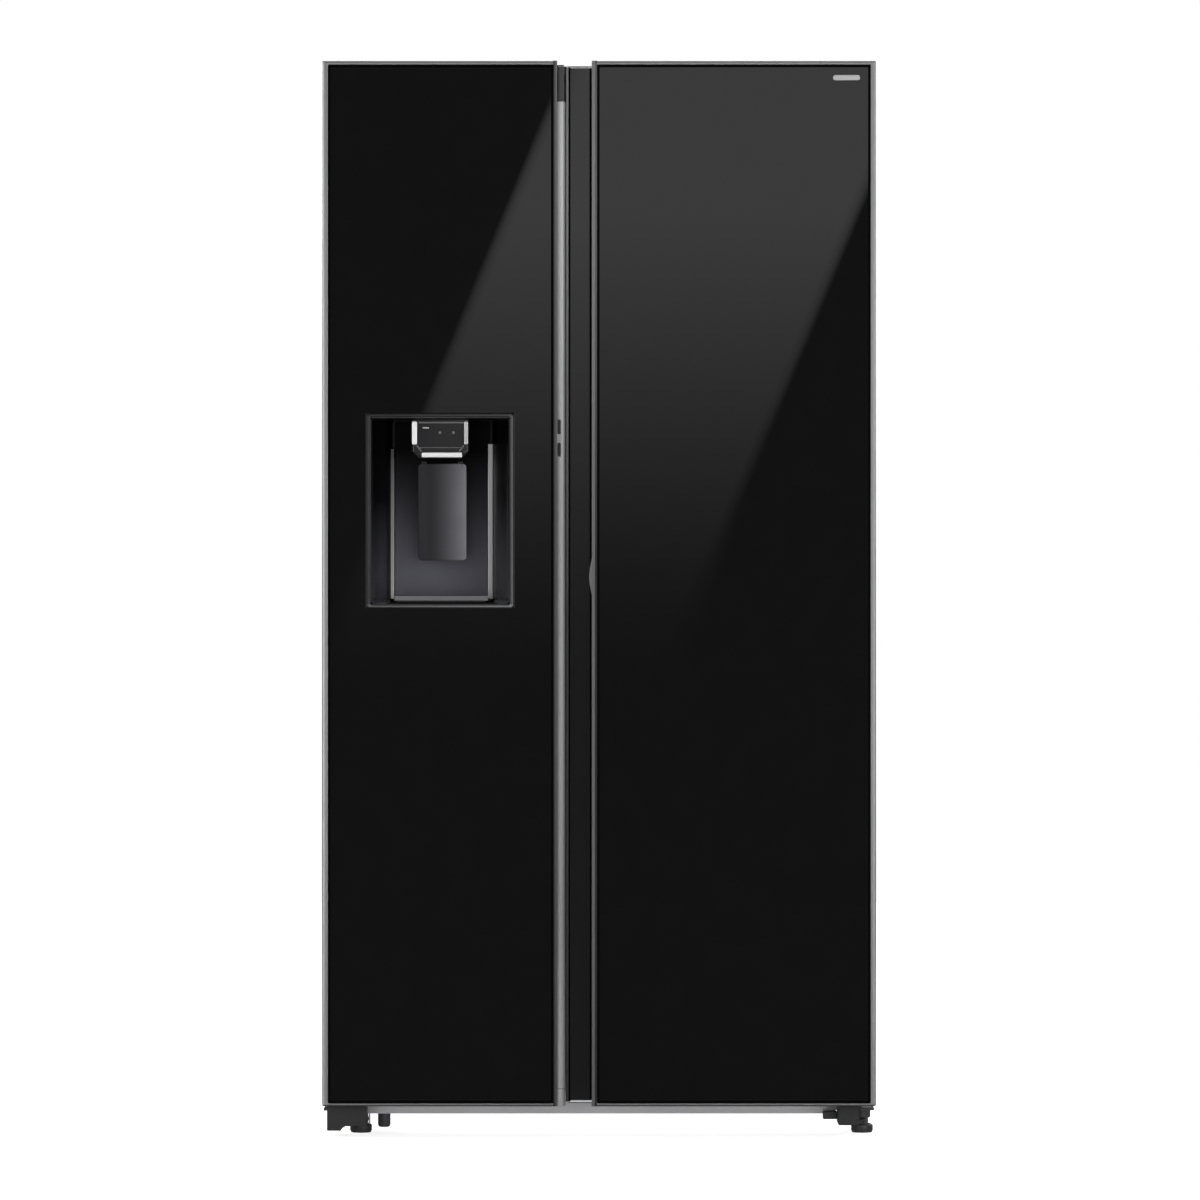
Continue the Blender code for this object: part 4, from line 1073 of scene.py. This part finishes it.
def back_sheet():
    """Galvanised sheet with pressed ribs and a row of screws round its edge."""
    x, y, z = spans("back_panel")
    columns, rows = 72, 120
    bands = [z[0] + (z[1] - z[0]) * (i + 0.5) / 7 for i in range(7)]

    def lift(u, v):
        side = min(u - x[0], x[1] - u) - 0.060
        across = max(0.0, min(1.0, side / 0.010))
        near = min(abs(v - band) for band in bands)
        return 0.0014 * across * max(0.0, min(1.0, (0.058 - near) / 0.008))

    us = [x[0] + (x[1] - x[0]) * i / columns for i in range(columns + 1)]
    vs = [z[0] + (z[1] - z[0]) * i / rows for i in range(rows + 1)]
    points = [Vector((u, y[1] + lift(u, v), v)) for v in vs for u in us]
    points += [Vector((u, y[0], v)) for v in vs for u in us]
    width = columns + 1
    half = len(points) // 2
    faces = []
    for row in range(rows):
        for column in range(columns):
            a = row * width + column
            faces.append((a, a + 1, a + width + 1, a + width))
            faces.append((half + a, half + a + width, half + a + width + 1, half + a + 1))
    rim = list(range(width)) + [row * width + columns for row in range(1, rows + 1)]
    rim += [rows * width + column for column in range(columns - 1, -1,
                                                      -1)] + [row * width for row in range(rows - 1, 0, -1)]
    for a, b in zip(rim, rim[1:] + rim[:1]):
        faces.append((a, b, half + b, half + a))
    piece("rear_sheet", [(points, faces)], "zinc", "cabinet", ("back_panel",), crease=50)
    frame_y = (y[0] - 0.0013, y[0] - 0.0002)
    strips = [block(mirrored((0.4296, 0.4418), side), frame_y, (0.0570, 0.2757), 0.0004) for side in (-1, 1)]
    strips.append(block((-0.4300, 0.4300), frame_y, (0.2640, 0.2757), 0.0004))
    piece("rear_frame", strips, "zinc", "cabinet")
    heads = []
    for i in range(6):
        level_z = z[0] + 0.03 + (z[1] - z[0] - 0.06) * i / 5
        heads += [screw((side * 0.436, y[1], level_z), "Y") for side in (-1, 1)]
    heads += [screw((u, y[1], z[1] - 0.020), "Y") for u in (-0.22, 0.0, 0.22)]
    piece("rear_screws", heads, "chrome", "cabinet")


def machine_grille():
    """Moulded rear cover: ribs across its air slots, a rim, screws and the two inlets."""
    x, y, z = spans("machine_cover")
    dress("machine_cover", "dark_plastic", 0.0007)
    bars = []
    for centre in (-0.240, 0.235):
        for i in range(9):
            at = centre - 0.088 + 0.022 * i
            bars.append(block(around(at, 0.0016), shrink(y, 0.0004, 0.0008), (z[0] + 0.036, z[0] + 0.178),
                              0.0006))
        slots_z = (z[0] + 0.030, z[0] + 0.184)
        face_y = (y[1] + 0.0016, y[1] - 0.0004)
        bars.append(rim_ring(around(centre, 0.122), slots_z, 0.004, face_y, -0.0006, (0.010, 0.007)))
    edge_y = (y[1] + 0.0012, y[1] - 0.0004)
    bars.append(rim_ring(shrink(x, 0.004), shrink(z, 0.004), 0.004, edge_y, -0.0005, (0.006, 0.004)))
    piece("rear_cover_ribs", bars, "dark_plastic", "cabinet")
    heads = [screw((u, y[1], v), "Y") for u in (x[0] + 0.014, 0.0, x[1] - 0.014)
             for v in shrink(z, 0.016, 0.014)]
    piece("rear_cover_screws", heads, "chrome", "cabinet")
    back = y[1] - 0.0006
    px, pz = x[0] + 0.036, z[0] + 0.120
    shell = rim_ring(around(px, 0.016), around(pz, 0.012), 0.0035, (back + 0.0075, back), -0.0008,
                     (0.004, 0.003))
    floor_plate = block(around(px, 0.0130), (back, back + 0.0012), around(pz, 0.0090), 0.0003)
    piece("mains_inlet", [shell, floor_plate], "dark_plastic", "cabinet")
    pins = [block(around(px + dx, 0.001), (back, back + 0.0060), around(pz + dz, 0.002), 0.0004)
            for dx, dz in ((-0.007, -0.002), (0, 0.002), (0.007, -0.002))]
    piece("mains_pins", pins, "chrome", "cabinet")
    valve = [(0.0090, 0), (0.0090, 0.0022), (0.0062, 0.0026), (0.0062, 0.0050), (0.0066, 0.0054)]
    valve += [(0.0066, 0.0076), (0.0058, 0.0080), (0.0036, 0.0080), (0.0034, 0.0040), (0, 0.0040)]
    piece("water_inlet", [turned(valve, (x[0] + 0.036, back, z[0] + 0.165), "Y", 28)], "blue_plastic",
          "cabinet")


def top_details():
    """The moulded cover over the wiring and the two hinge covers."""
    _, y, z = spans("top_cover")
    dress("top_cover", "dark_plastic", 0.0016)
    low_top = z[1] - 0.0085
    heads = [screw((u, middle(y), low_top), "Z", 1, 0.0045) for u in (-0.290, -0.100, 0.090, 0.300)]
    piece("top_screws", heads, "chrome", "cabinet")
    ribs = [block((-0.250 + 0.012 * i, -0.2455 + 0.012 * i), shrink(y, 0.018),
                  (low_top - 0.0004, low_top + 0.0012), 0.0005)
            for i in range(10)]
    ribs.append(plate_lid((0.186, 0.258), shrink(y, 0.012), z[1]))
    piece("top_ribs", ribs, "dark_plastic", "cabinet")
    for side, label in ((-1, "left"), (1, "right")):
        dress(f"upper_hinge_{label}", "zinc", 0.0004)
        axis_x, axis_y = HINGE_X, spans(f"upper_hinge_{label}")[1][0] + 0.014
        outline = [(0.350, -0.118), (0.4545, -0.118), (0.4545, axis_y)]
        outline += [(axis_x + 0.0145 * cos(radians(a)), axis_y + 0.0145 * sin(radians(a)))
                    for a in range(-15, -180, -15)]
        outline += [(0.4255, axis_y), (0.4255, -0.262), (0.395, -0.240), (0.350, -0.235)]
        centre = (0.41, -0.19)
        loops = []
        top = TOP + 0.024
        for height, inset in ((TOP + 0.0005, 0.0), (top - 0.004, 0.0004), (top - 0.0015, 0.0012),
                              (top - 0.0003, 0.0028), (top, 0.0048)):
            loop = []
            for px, py in outline:
                reach = hypot(px - axis_x, py - axis_y)
                hub = (axis_x, axis_y) if reach < 0.02 else centre
                far = hypot(px - hub[0], py - hub[1])
                grow = max(0.0, 1 - inset / far)
                loop.append(Vector((side * (hub[0] + (px - hub[0]) * grow), hub[1] + (py - hub[1]) * grow,
                                    height)))
            loops.append(loop)
        piece(f"hinge_cover_{label}", [skin(loops)], "dark_plastic", "cabinet", crease=45)
        cap = screw((side * 0.395, -0.165, top - 0.0005), "Z", 1, 0.0055)
        piece(f"hinge_cover_screw_{label}", [cap], "chrome", "cabinet")


def plate_lid(x, y, top):
    """A shallow lid standing on a flat top."""
    return block(x, y, (top - 0.0006, top + 0.0010), 0.0005, 0.006, "Z")


def front_feet():
    """Covers, brackets and the locating peg between the floor and the doors."""
    reach = CASE_FRONT - 0.004
    y = (CASE_FRONT - 0.074, reach)
    left = [(-0.449, 0.0505), (-0.449, 0.0095), (-0.4265, 0.0095), (-0.4235, 0.0140), (-0.4185, 0.0170)]
    left += [(-0.384, 0.0170), (-0.384, 0.0505)]
    skins = [slab(left, "Y", *y)]
    skins.append(block((0.3945, 0.430), y, (0.0185, 0.0505), 0.0015, 0.003))
    piece("front_covers", skins, "charcoal", "cabinet", ease=0.0010)
    peg = turned([(0.0070, 0.0090), (0.0095, 0.0105), (0.0104, 0.0140), (0.0104, 0.0385)],
                 (-0.3575, CASE_FRONT + 0.027, 0), "Z", 28)
    stop = block((0.3710, 0.3945), (CASE_FRONT - 0.030, reach), (0.0255, 0.0385), 0.0020)
    valance = block((-0.384, 0.393), (CASE_FRONT - 0.0022, CASE_FRONT - 0.0002), (0.0330, 0.0560), 0.0007)
    piece("front_valance", [valance], "base_paint", "cabinet")
    collar = turned([(0.0135, 0.0255), (0.0140, 0.0262), (0.0140, 0.0380), (0.0130, 0.0384)],
                    (0.4375, -0.225, 0), "Z", 32)
    piece("front_stops", [peg, stop, collar], "condenser_paint", "cabinet")
    for label in ("left", "right"):
        dress(f"lower_hinge_{label}", "condenser_paint", 0.0005)
        hinge_y = spans(f"lower_hinge_{label}")[1]
        side = -1 if label == "left" else 1
        bush = [(0.0056, 0.0468), (0.0100, 0.0468), (0.0104, 0.0474), (0.0104, 0.0486), (0.0080, 0.0500),
                (0.0076, 0.0516), (0.0056, 0.0516)]
        bush = turned_ring(bush, (side * HINGE_X, hinge_y[0] + 0.014, 0), "Z", 28)
        piece(f"hinge_bush_{label}", [bush], "gasket_rubber", "cabinet")
        bolts = [screw((side * at, hinge_y[1] - 0.0035, 0.061), "Y", -1, 0.0042)
                 for at in (0.409, 0.424, 0.446)]
        piece(f"hinge_bolts_{label}", bolts, "chrome", "cabinet")
        foot(label)
        wheel(f"front_roller_{label}")
        wheel(f"rear_roller_{label}")


def foot(label):
    """A threaded foot with a knurled disc, a hex collar and a soft pad."""
    node = f"levelling_foot_{label}"
    x, y, _ = spans(node)
    centre = (middle(x), middle(y), 0)
    radius = (x[1] - x[0]) / 2
    count = 96
    disc = []
    for height, inset, depth in ((0.0022, 0.0018, 0), (0.0034, 0.0004, 1), (0.0120, 0.0004, 1),
                                 (0.0140, 0.0016, 0.3), (0.0148, 0.0034, 0)):
        loop = []
        for i in range(count):
            angle = 2 * pi * i / count
            r = radius - inset - 0.0005 * depth * (i % 2)
            loop.append(Vector((centre[0] + r * cos(angle), centre[1] + r * sin(angle), height)))
        disc.append(loop)
    piece(f"foot_disc_{label}", [skin(disc)], "dark_plastic", node, (node,), crease=50)
    pad = turned([(radius - 0.0030, 0), (radius - 0.0016, 0.0008), (radius - 0.0016, 0.0024)], centre, "Z",
                 40)
    piece(f"foot_pad_{label}", [pad], "tyre_rubber", node)
    collar = turned([(0.0095, 0.0146), (0.0095, 0.0212), (0.0086, 0.0220)], centre, "Z", 6)
    thread = [(0.0040, 0.0216)]
    turn = 0.00125
    for i in range(23):
        thread += [(0.0039, 0.0222 + turn * i), (0.0033, 0.0222 + turn * (i + 0.5))]
    thread += [(0.0038, 0.0510), (0.0028, 0.0520)]
    piece(f"foot_stud_{label}", [collar, turned(thread, centre, "Z", 20)], "condenser_paint", node)


def wheel(node):
    """A tyre with a rounded tread and a dished hub on its axle."""
    x, y, z = spans(node)
    centre = (middle(x), middle(y), middle(z))
    radius = (z[1] - z[0]) / 2
    half = (x[1] - x[0]) / 2
    bore = 0.0034
    arc = [(radius - 0.003 + 0.003 * sin(a), half - 0.003 + 0.003 * cos(a))
           for a in (0, pi / 6, pi / 3, pi / 2)]
    tyre = [(radius * 0.62, -half), *[(r, -h) for r, h in arc], *reversed(arc), (radius * 0.62, half)]
    tyre = [turned_ring(tyre, centre)]
    hub_profile = [(bore, -half + 0.001), (0.0062, -half + 0.001), (0.0070, -half + 0.0035),
                   (radius * 0.60, -half + 0.0030)]
    hub_profile += [(radius * 0.635, -half + 0.0004), (radius * 0.635, half - 0.0004),
                    (radius * 0.60, half - 0.0030)]
    hub_profile += [(0.0070, half - 0.0035), (0.0062, half - 0.001), (bore, half - 0.001)]
    piece(f"{node}_tyre", tyre, "tyre_rubber", node, (node,))
    piece(f"{node}_hub", [turned_ring(hub_profile, centre)], "dark_plastic", node)


# ---------------------------------------------------------------- machine space


def machine_space():
    x, y, z = spans("compressor")
    centre = (0.300, 0.235, z[0] + 0.004)
    dome = [(0.050, 0.0), (0.064, 0.006), (0.0715, 0.018), (0.0745, 0.034), (0.0750, 0.070)]
    dome += [(0.0762, 0.0705), (0.0762, 0.0760), (0.0750, 0.0765), (0.0745, 0.096), (0.0715, 0.116),
             (0.0630, 0.133), (0.0470, 0.145)]
    dome += [(0.0260, 0.1495), (0.0, 0.150)]
    base = block(x, shrink(y, 0.026), (z[0], z[0] + 0.006), 0.0014, 0.010, "Z")
    piece("compressor_shell", [turned(dome, centre, "Z", 56), base], "condenser_paint", "cabinet",
          ("compressor",), crease=40)
    grommets = [turned([(0.0095, 0.0405), (0.0105, 0.0425), (0.0080, 0.0445), (0.0105, 0.0465),
                        (0.0095, 0.0502)], (px, py, 0), "Z", 24)
                for px in shrink(x, 0.013) for py in (0.198, 0.272)]
    piece("compressor_grommets", grommets, "tyre_rubber", "cabinet")
    box = block((0.196, 0.228), (0.206, 0.262), (0.090, 0.150), 0.003, 0.005)
    piece("compressor_terminal_box", [box], "dark_plastic", "cabinet")
    pipes = [
        smooth_path([(0.345, 0.285, 0.120), (0.352, 0.322, 0.124), (0.345, 0.336, 0.170),
                     (0.270, 0.338, 0.225), (0.170, 0.330, 0.235)]),
        smooth_path([(0.262, 0.296, 0.130), (0.250, 0.325, 0.140), (0.190, 0.336, 0.150),
                     (0.060, 0.330, 0.225), (-0.092, 0.260, 0.216)]),
        smooth_path([(0.300, 0.310, 0.100), (0.296, 0.328, 0.104), (0.268, 0.336, 0.106),
                     (0.262, 0.338, 0.084)]),
    ]
    piece("compressor_pipes", [tube(path, radius) for path, radius in zip(pipes, (0.0040, 0.0032, 0.0032))],
          "copper", "cabinet")
    condenser()
    cooling_fan()
    px, py, pz = spans("drain_pan")
    piece("evaporation_pan", [tray(px, py, pz, 0.0018, 0.012, 0.003, 0.004, 0.005)], "dark_plastic",
          "cabinet", ("drain_pan",))


def condenser():
    """A folded tube between pairs of upright wires."""
    x, y, z = spans("condenser_coil")
    radius = 0.005
    pitch = 0.026
    left, right = x[0] + 0.018, x[1] - 0.018
    path = []
    rows = 6
    for row in range(rows):
        height = z[0] + radius + row * pitch
        start, end = (left, right) if row % 2 == 0 else (right, left)
        path += [(start, middle(y), height), ((start + end) / 2, middle(y), height), (end, middle(y), height)]
        if row < rows - 1:
            bulge = 1 if end > start else -1
            for i in range(1, 10):
                angle = pi * i / 10
                path.append((end + bulge * pitch / 2 * sin(angle), middle(y),
                             height + pitch / 2 * (1 - cos(angle))))
    piece("condenser_tube", [tube(path, 0.0045, 14)], "condenser_paint", "cabinet", ("condenser_coil",),
          crease=60)
    wires = []
    gaps = 33
    for i in range(gaps + 1):
        at = left + 0.004 + (right - left - 0.008) * i / gaps
        for depth in around(middle(y), 0.0056):
            wires.append(tube([(at, depth, z[0] - 0.006), (at, depth, z[1] + 0.006)], 0.0009, 6))
    piece("condenser_wires", wires, "condenser_paint", "cabinet")


def cooling_fan():
    """A round shroud, struts and a motor behind the fan."""
    x, y, z = spans("condenser_fan")
    dress("condenser_fan", "dark_plastic", 0.0004)
    cy, cz = middle(y), (z[0] + z[1]) / 2
    radius = (y[1] - y[0]) / 2 + 0.006
    rim = turned_ring([(radius, -0.012), (radius + 0.004, -0.012), (radius + 0.004, 0.012),
                       (radius, 0.012)], (middle(x), cy, cz))
    motor_x = (x[0] - 0.034, x[0] - 0.004)
    motor = turned([(0.018, 0), (0.021, 0.003), (0.021, 0.026), (0.017, 0.030)], (motor_x[0], cy, cz), "X",
                   28)
    struts = []
    for angle in (35, 145, 215, 325):
        out = Vector((0, cos(radians(angle)), sin(radians(angle))))
        hub = Vector((motor_x[0] + 0.012, cy, cz))
        struts.append(tube([hub + out * 0.016, hub + out * 0.045,
                            Vector((middle(x) - 0.010, cy, cz)) + out * (radius + 0.002)], 0.0022, 8))
    piece("fan_shroud", [rim, motor, *struts], "dark_plastic", "cabinet")


# ---------------------------------------------------------------- compartments


def compartment(label, x, wall=0.0018):
    """A moulded liner: rounded inside corners, a sloped step at the rear and an eased mouth."""
    name = f"{label}_liner"
    flange_x, depth_y, flange_z = spans(name)
    front, rear = CASE_FRONT, depth_y[1] - wall
    radius = 0.014

    def section(y, inset, grow=0.0, low=LINER_FLOOR):
        reach = inset - grow
        return level(rounded(shrink(x, reach), (low + reach, LINER_CEILING - reach),
                             max(radius - inset + grow, 0.002), 6), y, "Y")

    inner = [(front, -0.0035, LINER_FLOOR), (front + 0.0006, -0.0018, LINER_FLOOR),
             (front + 0.0018, -0.0006, LINER_FLOOR), (front + 0.0040, 0, LINER_FLOOR)]
    inner += [(0.030, 0, LINER_FLOOR), (0.062, 0, LINER_FLOOR + 0.004), (0.072, 0, LINER_FLOOR + 0.020)]
    inner += [(0.095, 0, LINER_STEP - 0.055), (0.101, 0, LINER_STEP - 0.018),
              (0.113, 0, LINER_STEP - 0.004), (0.128, 0, LINER_STEP)]
    inner += [(rear - 0.014, 0, LINER_STEP), (rear - 0.007, 0.0019, LINER_STEP),
              (rear - 0.0019, 0.007, LINER_STEP), (rear, 0.014, LINER_STEP)]
    loops = [section(y, inset, 0.0, low) for y, inset, low in inner]
    outside = [section(y + wall * (y > 0.25), inset, wall, low) for y, inset, low in inner[4:]]
    outside.insert(0, section(front + 0.006, 0, wall))
    flange_back = [level(rounded(flange_x, flange_z, 0.005, 6), front + wall, "Y")]
    flange_front = [level(rounded(shrink(flange_x, 0.0006), shrink(flange_z, 0.0006), 0.005, 6), front, "Y")]
    shell = skin([*reversed(outside), section(front + wall, 0, wall), *flange_back, *flange_front, *loops])
    skins = [shell]
    for height in RAIL_HEIGHTS[label]:
        for edge, inward in ((x[0], 1), (x[1], -1)):
            ends = tuple(sorted((edge - inward * 0.001, edge + inward * 0.007)))
            skins.append(block(ends, (-0.150, 0.225), (height - 0.007, height), 0.0022))
    piece(f"{label}_compartment", skins, "white_plastic", "cabinet", (name,), crease=35)
    lamp_x = around(middle(x), 0.075)
    bezel = lamp_ring(lamp_x, (-0.120, -0.066), (LINER_CEILING - 0.0045, LINER_CEILING + 0.0005))
    piece(f"{label}_lamp_bezel", [bezel], "silver", "cabinet")
    lens = block(shrink(lamp_x, 0.005), (-0.115, -0.071), (LINER_CEILING - 0.0036, LINER_CEILING + 0.0005),
                 0.0010, 0.006, "Z")
    piece(f"{label}_lamp", [lens], "lamp", "cabinet")


def lamp_ring(x, y, z, rim=0.0045):
    """A bezel facing down, with an eased lower edge."""
    half = ((0, z[1]), (0, z[0] + 0.001), (0.001, z[0]))
    return ring((x, y), (shrink(x, rim), shrink(y, rim)), both_edges(half), (0.009, 0.006), "Z")


def air_duct(node):
    """A rear panel with a raised duct, two seams on it and louvred outlets."""
    x, y, z = spans(node)
    label = node.replace("_air_panel", "")
    panel = block(x, y, z, 0.0020, 0.008)
    duct = block(around(middle(x), 0.128), (y[0] - 0.0030, y[0] + 0.002), shrink(z, 0.030, 0.020), 0.0026,
                 0.014)
    seams = []
    for at in (middle(x) - 0.020, middle(x) + 0.016):
        seams.append(block((at, at + 0.004), (y[0] - 0.0042, y[0]), shrink(z, 0.060, 0.050), 0.0011))
    piece(f"{label}_duct", [panel, duct, *seams], "white_plastic", "cabinet", (node,))
    bezels, slats, wells = [], [], []
    face = y[0] - 0.0030
    for height in (0.80, 1.13, 1.52):
        for side in (-1, 1):
            out_x = around(middle(x) + side * 0.075, 0.045)
            out_z = (height - 0.010, height + 0.022)
            bezel_y = (face - 0.0016, face + 0.0004)
            bezels.append(rim_ring(out_x, out_z, 0.004, bezel_y, 0.0006, (0.006, 0.004)))
            wells.append(block(shrink(out_x, 0.0035), (face - 0.0002, face + 0.0006), shrink(out_z, 0.0035),
                               0.0002, 0.003))
            for i in range(4):
                low = out_z[0] + 0.0052 + 0.0056 * i
                slats.append(slab([(face - 0.0014, low), (face - 0.0006, low),
                                   (face + 0.0006, low + 0.0030), (face - 0.0002, low + 0.0030)],
                                  "X", *shrink(out_x, 0.0030)))
    piece(f"{label}_outlet_bezels", [*bezels, *slats], "white_plastic", "cabinet")
    piece(f"{label}_outlet_wells", wells, "condenser_paint", "cabinet")


def glass_shelf(label, x, z, y=(-0.140, 0.236), replaces=()):
    """A glass plate in a moulded front and rear trim, with bright edging."""
    pane = block(x, shrink(y, 0.003), z, 0.0008, 0.003, "Z")
    piece(label, [pane], "shelf_glass", "cabinet", replaces)
    front = block(shrink(x, 0.0005), (y[0], y[0] + 0.014), (z[0] - 0.0002, z[1] + 0.0042), 0.0020)
    rear = block(shrink(x, 0.0005), (y[1] - 0.012, y[1]), (z[0] - 0.0002, z[1] + 0.0060), 0.0020)
    piece(f"{label}_trims", [front, rear], "white_plastic", "cabinet")
    strip = block(shrink(x, 0.010), (y[0] - 0.0008, y[0] + 0.001), (z[0] + 0.0014, z[1] + 0.0024), 0.0005)
    piece(f"{label}_strip", [strip], "silver", "cabinet")


def pull_out(node, drop=0.030):
    """A clear drawer with a rolled rim, a lower front and a white grip."""
    x, y, z = spans(node)
    body = node if node in frame["bodies"] else "cabinet"
    skin_parts = [tray(x, y, z, 0.0024, 0.016, 0.0045, 0.006, 0.014, drop)]
    piece(f"{node}_tub", skin_parts, "clear_plastic", body, (node,), crease=45)
    height = z[1] - z[0]
    grip_z = (z[1] - drop - 0.034, z[1] - drop - 0.006)
    grip_x = around(middle(x), 0.105)
    share = (grip_z[0] - z[0]) / height
    lean = y[0] + 0.0105 * (1 - share)
    grip = block(grip_x, (lean - 0.0015 + 0.001, lean + 0.0085), grip_z, 0.0030, 0.008)
    piece(f"{node}_grip", [grip], "white_plastic", body)
    groove = block(shrink(grip_x, 0.012), (lean - 0.0010, lean + 0.002), shrink(grip_z, 0.009), 0.0007, 0.004)
    piece(f"{node}_grip_line", [groove], "silver", body)


def interior():
    """Liners, shelves, drawers, ice maker and water filter."""
    compartment("freezer", FREEZER_X)
    compartment("fridge", FRIDGE_X)
    for node in ("freezer_air_panel", "fridge_air_panel"):
        air_duct(node)
    for node in ("freezer_shelf", "fridge_shelf_1", "fridge_shelf_2", "fridge_shelf_3"):
        x, y, z = spans(node)
        glass_shelf(f"{node}_glass", x, z, y, (node,))
    fx, _, fz = spans("freezer_shelf")
    thick = fz[1] - fz[0]
    rails = RAIL_HEIGHTS["freezer"]
    upper = rails[2] + 0.0003
    glass_shelf("freezer_upper_shelf", fx, (upper, upper + thick))
    deck_y = (-0.138, 0.225)
    low, high = rails[0] - 0.0055, rails[3] - 0.0040
    for label, x, height in (("freezer", FREEZER_X, low), ("fridge", FRIDGE_X, low),
                             ("ice", FREEZER_X, high)):
        plate = block(shrink(x, 0.0076), deck_y, (height, height + 0.0052), 0.0012, 0.003, "Z")
        lugs = [block(ends, (-0.120 + 0.3 * i, -0.090 + 0.3 * i), (height + 0.0040, height + 0.0056), 0.0005)
                for ends in ((x[0] + 0.0015, x[0] + 0.012), (x[1] - 0.012, x[1] - 0.0015)) for i in (0, 1)]
        piece(f"{label}_deck", [plate, *lugs], "white_plastic", "cabinet")
    for node in ("freezer_drawer", "fridge_drawer_upper", "fridge_drawer_lower"):
        pull_out(node)
    pull_out("ice_bucket", drop=0.020)
    ice_maker()
    dress("evaporator_coil", "zinc", 0.0002)
    dress("evaporator_fan", "dark_plastic", 0.0003)
    filter_x = FRIDGE_X[1] - 0.070
    place = (filter_x, 0.060, 1.655)
    body = turned([(0.018, -0.02), (0.024, -0.016), (0.026, -0.008), (0.026, 0.150), (0.022, 0.158)], place,
                  "Y", 36)
    cap = turned([(0.020, -0.034), (0.0245, -0.031), (0.0260, -0.024), (0.0260, -0.0165),
                  (0.0250, -0.0158)], place, "Y", 36)
    saddle = block(around(filter_x, 0.016), (0.070, 0.200), (1.664, 1.6905), 0.002)
    piece("water_filter", [body, saddle], "white_plastic", "cabinet")
    piece("water_filter_cap", [cap], "blue_plastic", "cabinet")
    mullion = middle((FREEZER_X[1], FRIDGE_X[0]))
    bar = block((mullion - 0.0062, mullion + 0.0066), (CASE_FRONT - 0.0028, CASE_FRONT + 0.0006),
                (0.075, 1.705), 0.0012, 0.003)
    piece("mullion_cover", [bar], "gasket_rubber", "cabinet")


def ice_maker():
    """A moulded body with a dished mould, its motor housing and a shut-off wire."""
    x, y, z = spans("ice_maker")
    outer, inner = (x, y), (shrink(x, 0.027), (y[0] + 0.030, y[0] + 0.100))
    section = (
        ("outer", 0.002, z[0]), ("outer", 0, z[0] + 0.002), ("outer", 0, z[1] - 0.003), ("outer", 0.001,
                                                                                         z[1] - 0.001),
        ("outer", 0.003, z[1]), ("inner", 0.002, z[1]), ("inner", 0, z[1] - 0.002), ("inner", 0, z[0]),
    )
    rim = ring(outer, inner, section, (0.008, 0.006), "Z")
    piece("ice_maker_body", [rim], "white_plastic", "cabinet", ("ice_maker",))
    cells = []
    count = 7
    step = (inner[0][1] - inner[0][0]) / count
    for i in range(count):
        cell_x = (inner[0][0] + step * i + 0.0006, inner[0][0] + step * (i + 1) - 0.0006)
        cells.append(tray(cell_x, shrink(inner[1], 0.0006), (z[1] - 0.036, z[1] - 0.004), 0.0010, 0.006,
                          0.0010, 0.003, 0.008))
    piece("ice_mould_cells", cells, "zinc", "cabinet")
    motor = block((x[1] - 0.050, x[1] - 0.004), (y[0] - 0.010, y[0] + 0.004), shrink(z, 0.010, 0.008),
                  0.0025, 0.006)
    piece("ice_maker_motor", [motor], "gasket_rubber", "cabinet")
    bends = [(x[0] + 0.020, y[0] + 0.004, z[0] + 0.030), (x[0] + 0.018, y[0] - 0.012, z[0] + 0.012)]
    bends += [(x[0] + 0.030, y[0] - 0.014, z[0] - 0.004), (middle(x), y[0] - 0.014, z[0] - 0.006)]
    bends += [(x[1] - 0.055, y[0] - 0.012, z[0] + 0.016), (x[1] - 0.045, y[0] - 0.002, z[0] + 0.030)]
    wire = smooth_path(bends)
    piece("ice_shut_off_wire", [tube(wire, 0.0016, 8)], "chrome", "cabinet")


def cabinet():
    side_sheets()
    back_sheet()
    machine_grille()
    top_details()
    front_feet()
    machine_space()
    interior()


# ---------------------------------------------------------------- all of it

stage()
cabinet()
freezer_door()
handle()
dispenser()
groove_trims()
inner_door()
showcase_door()
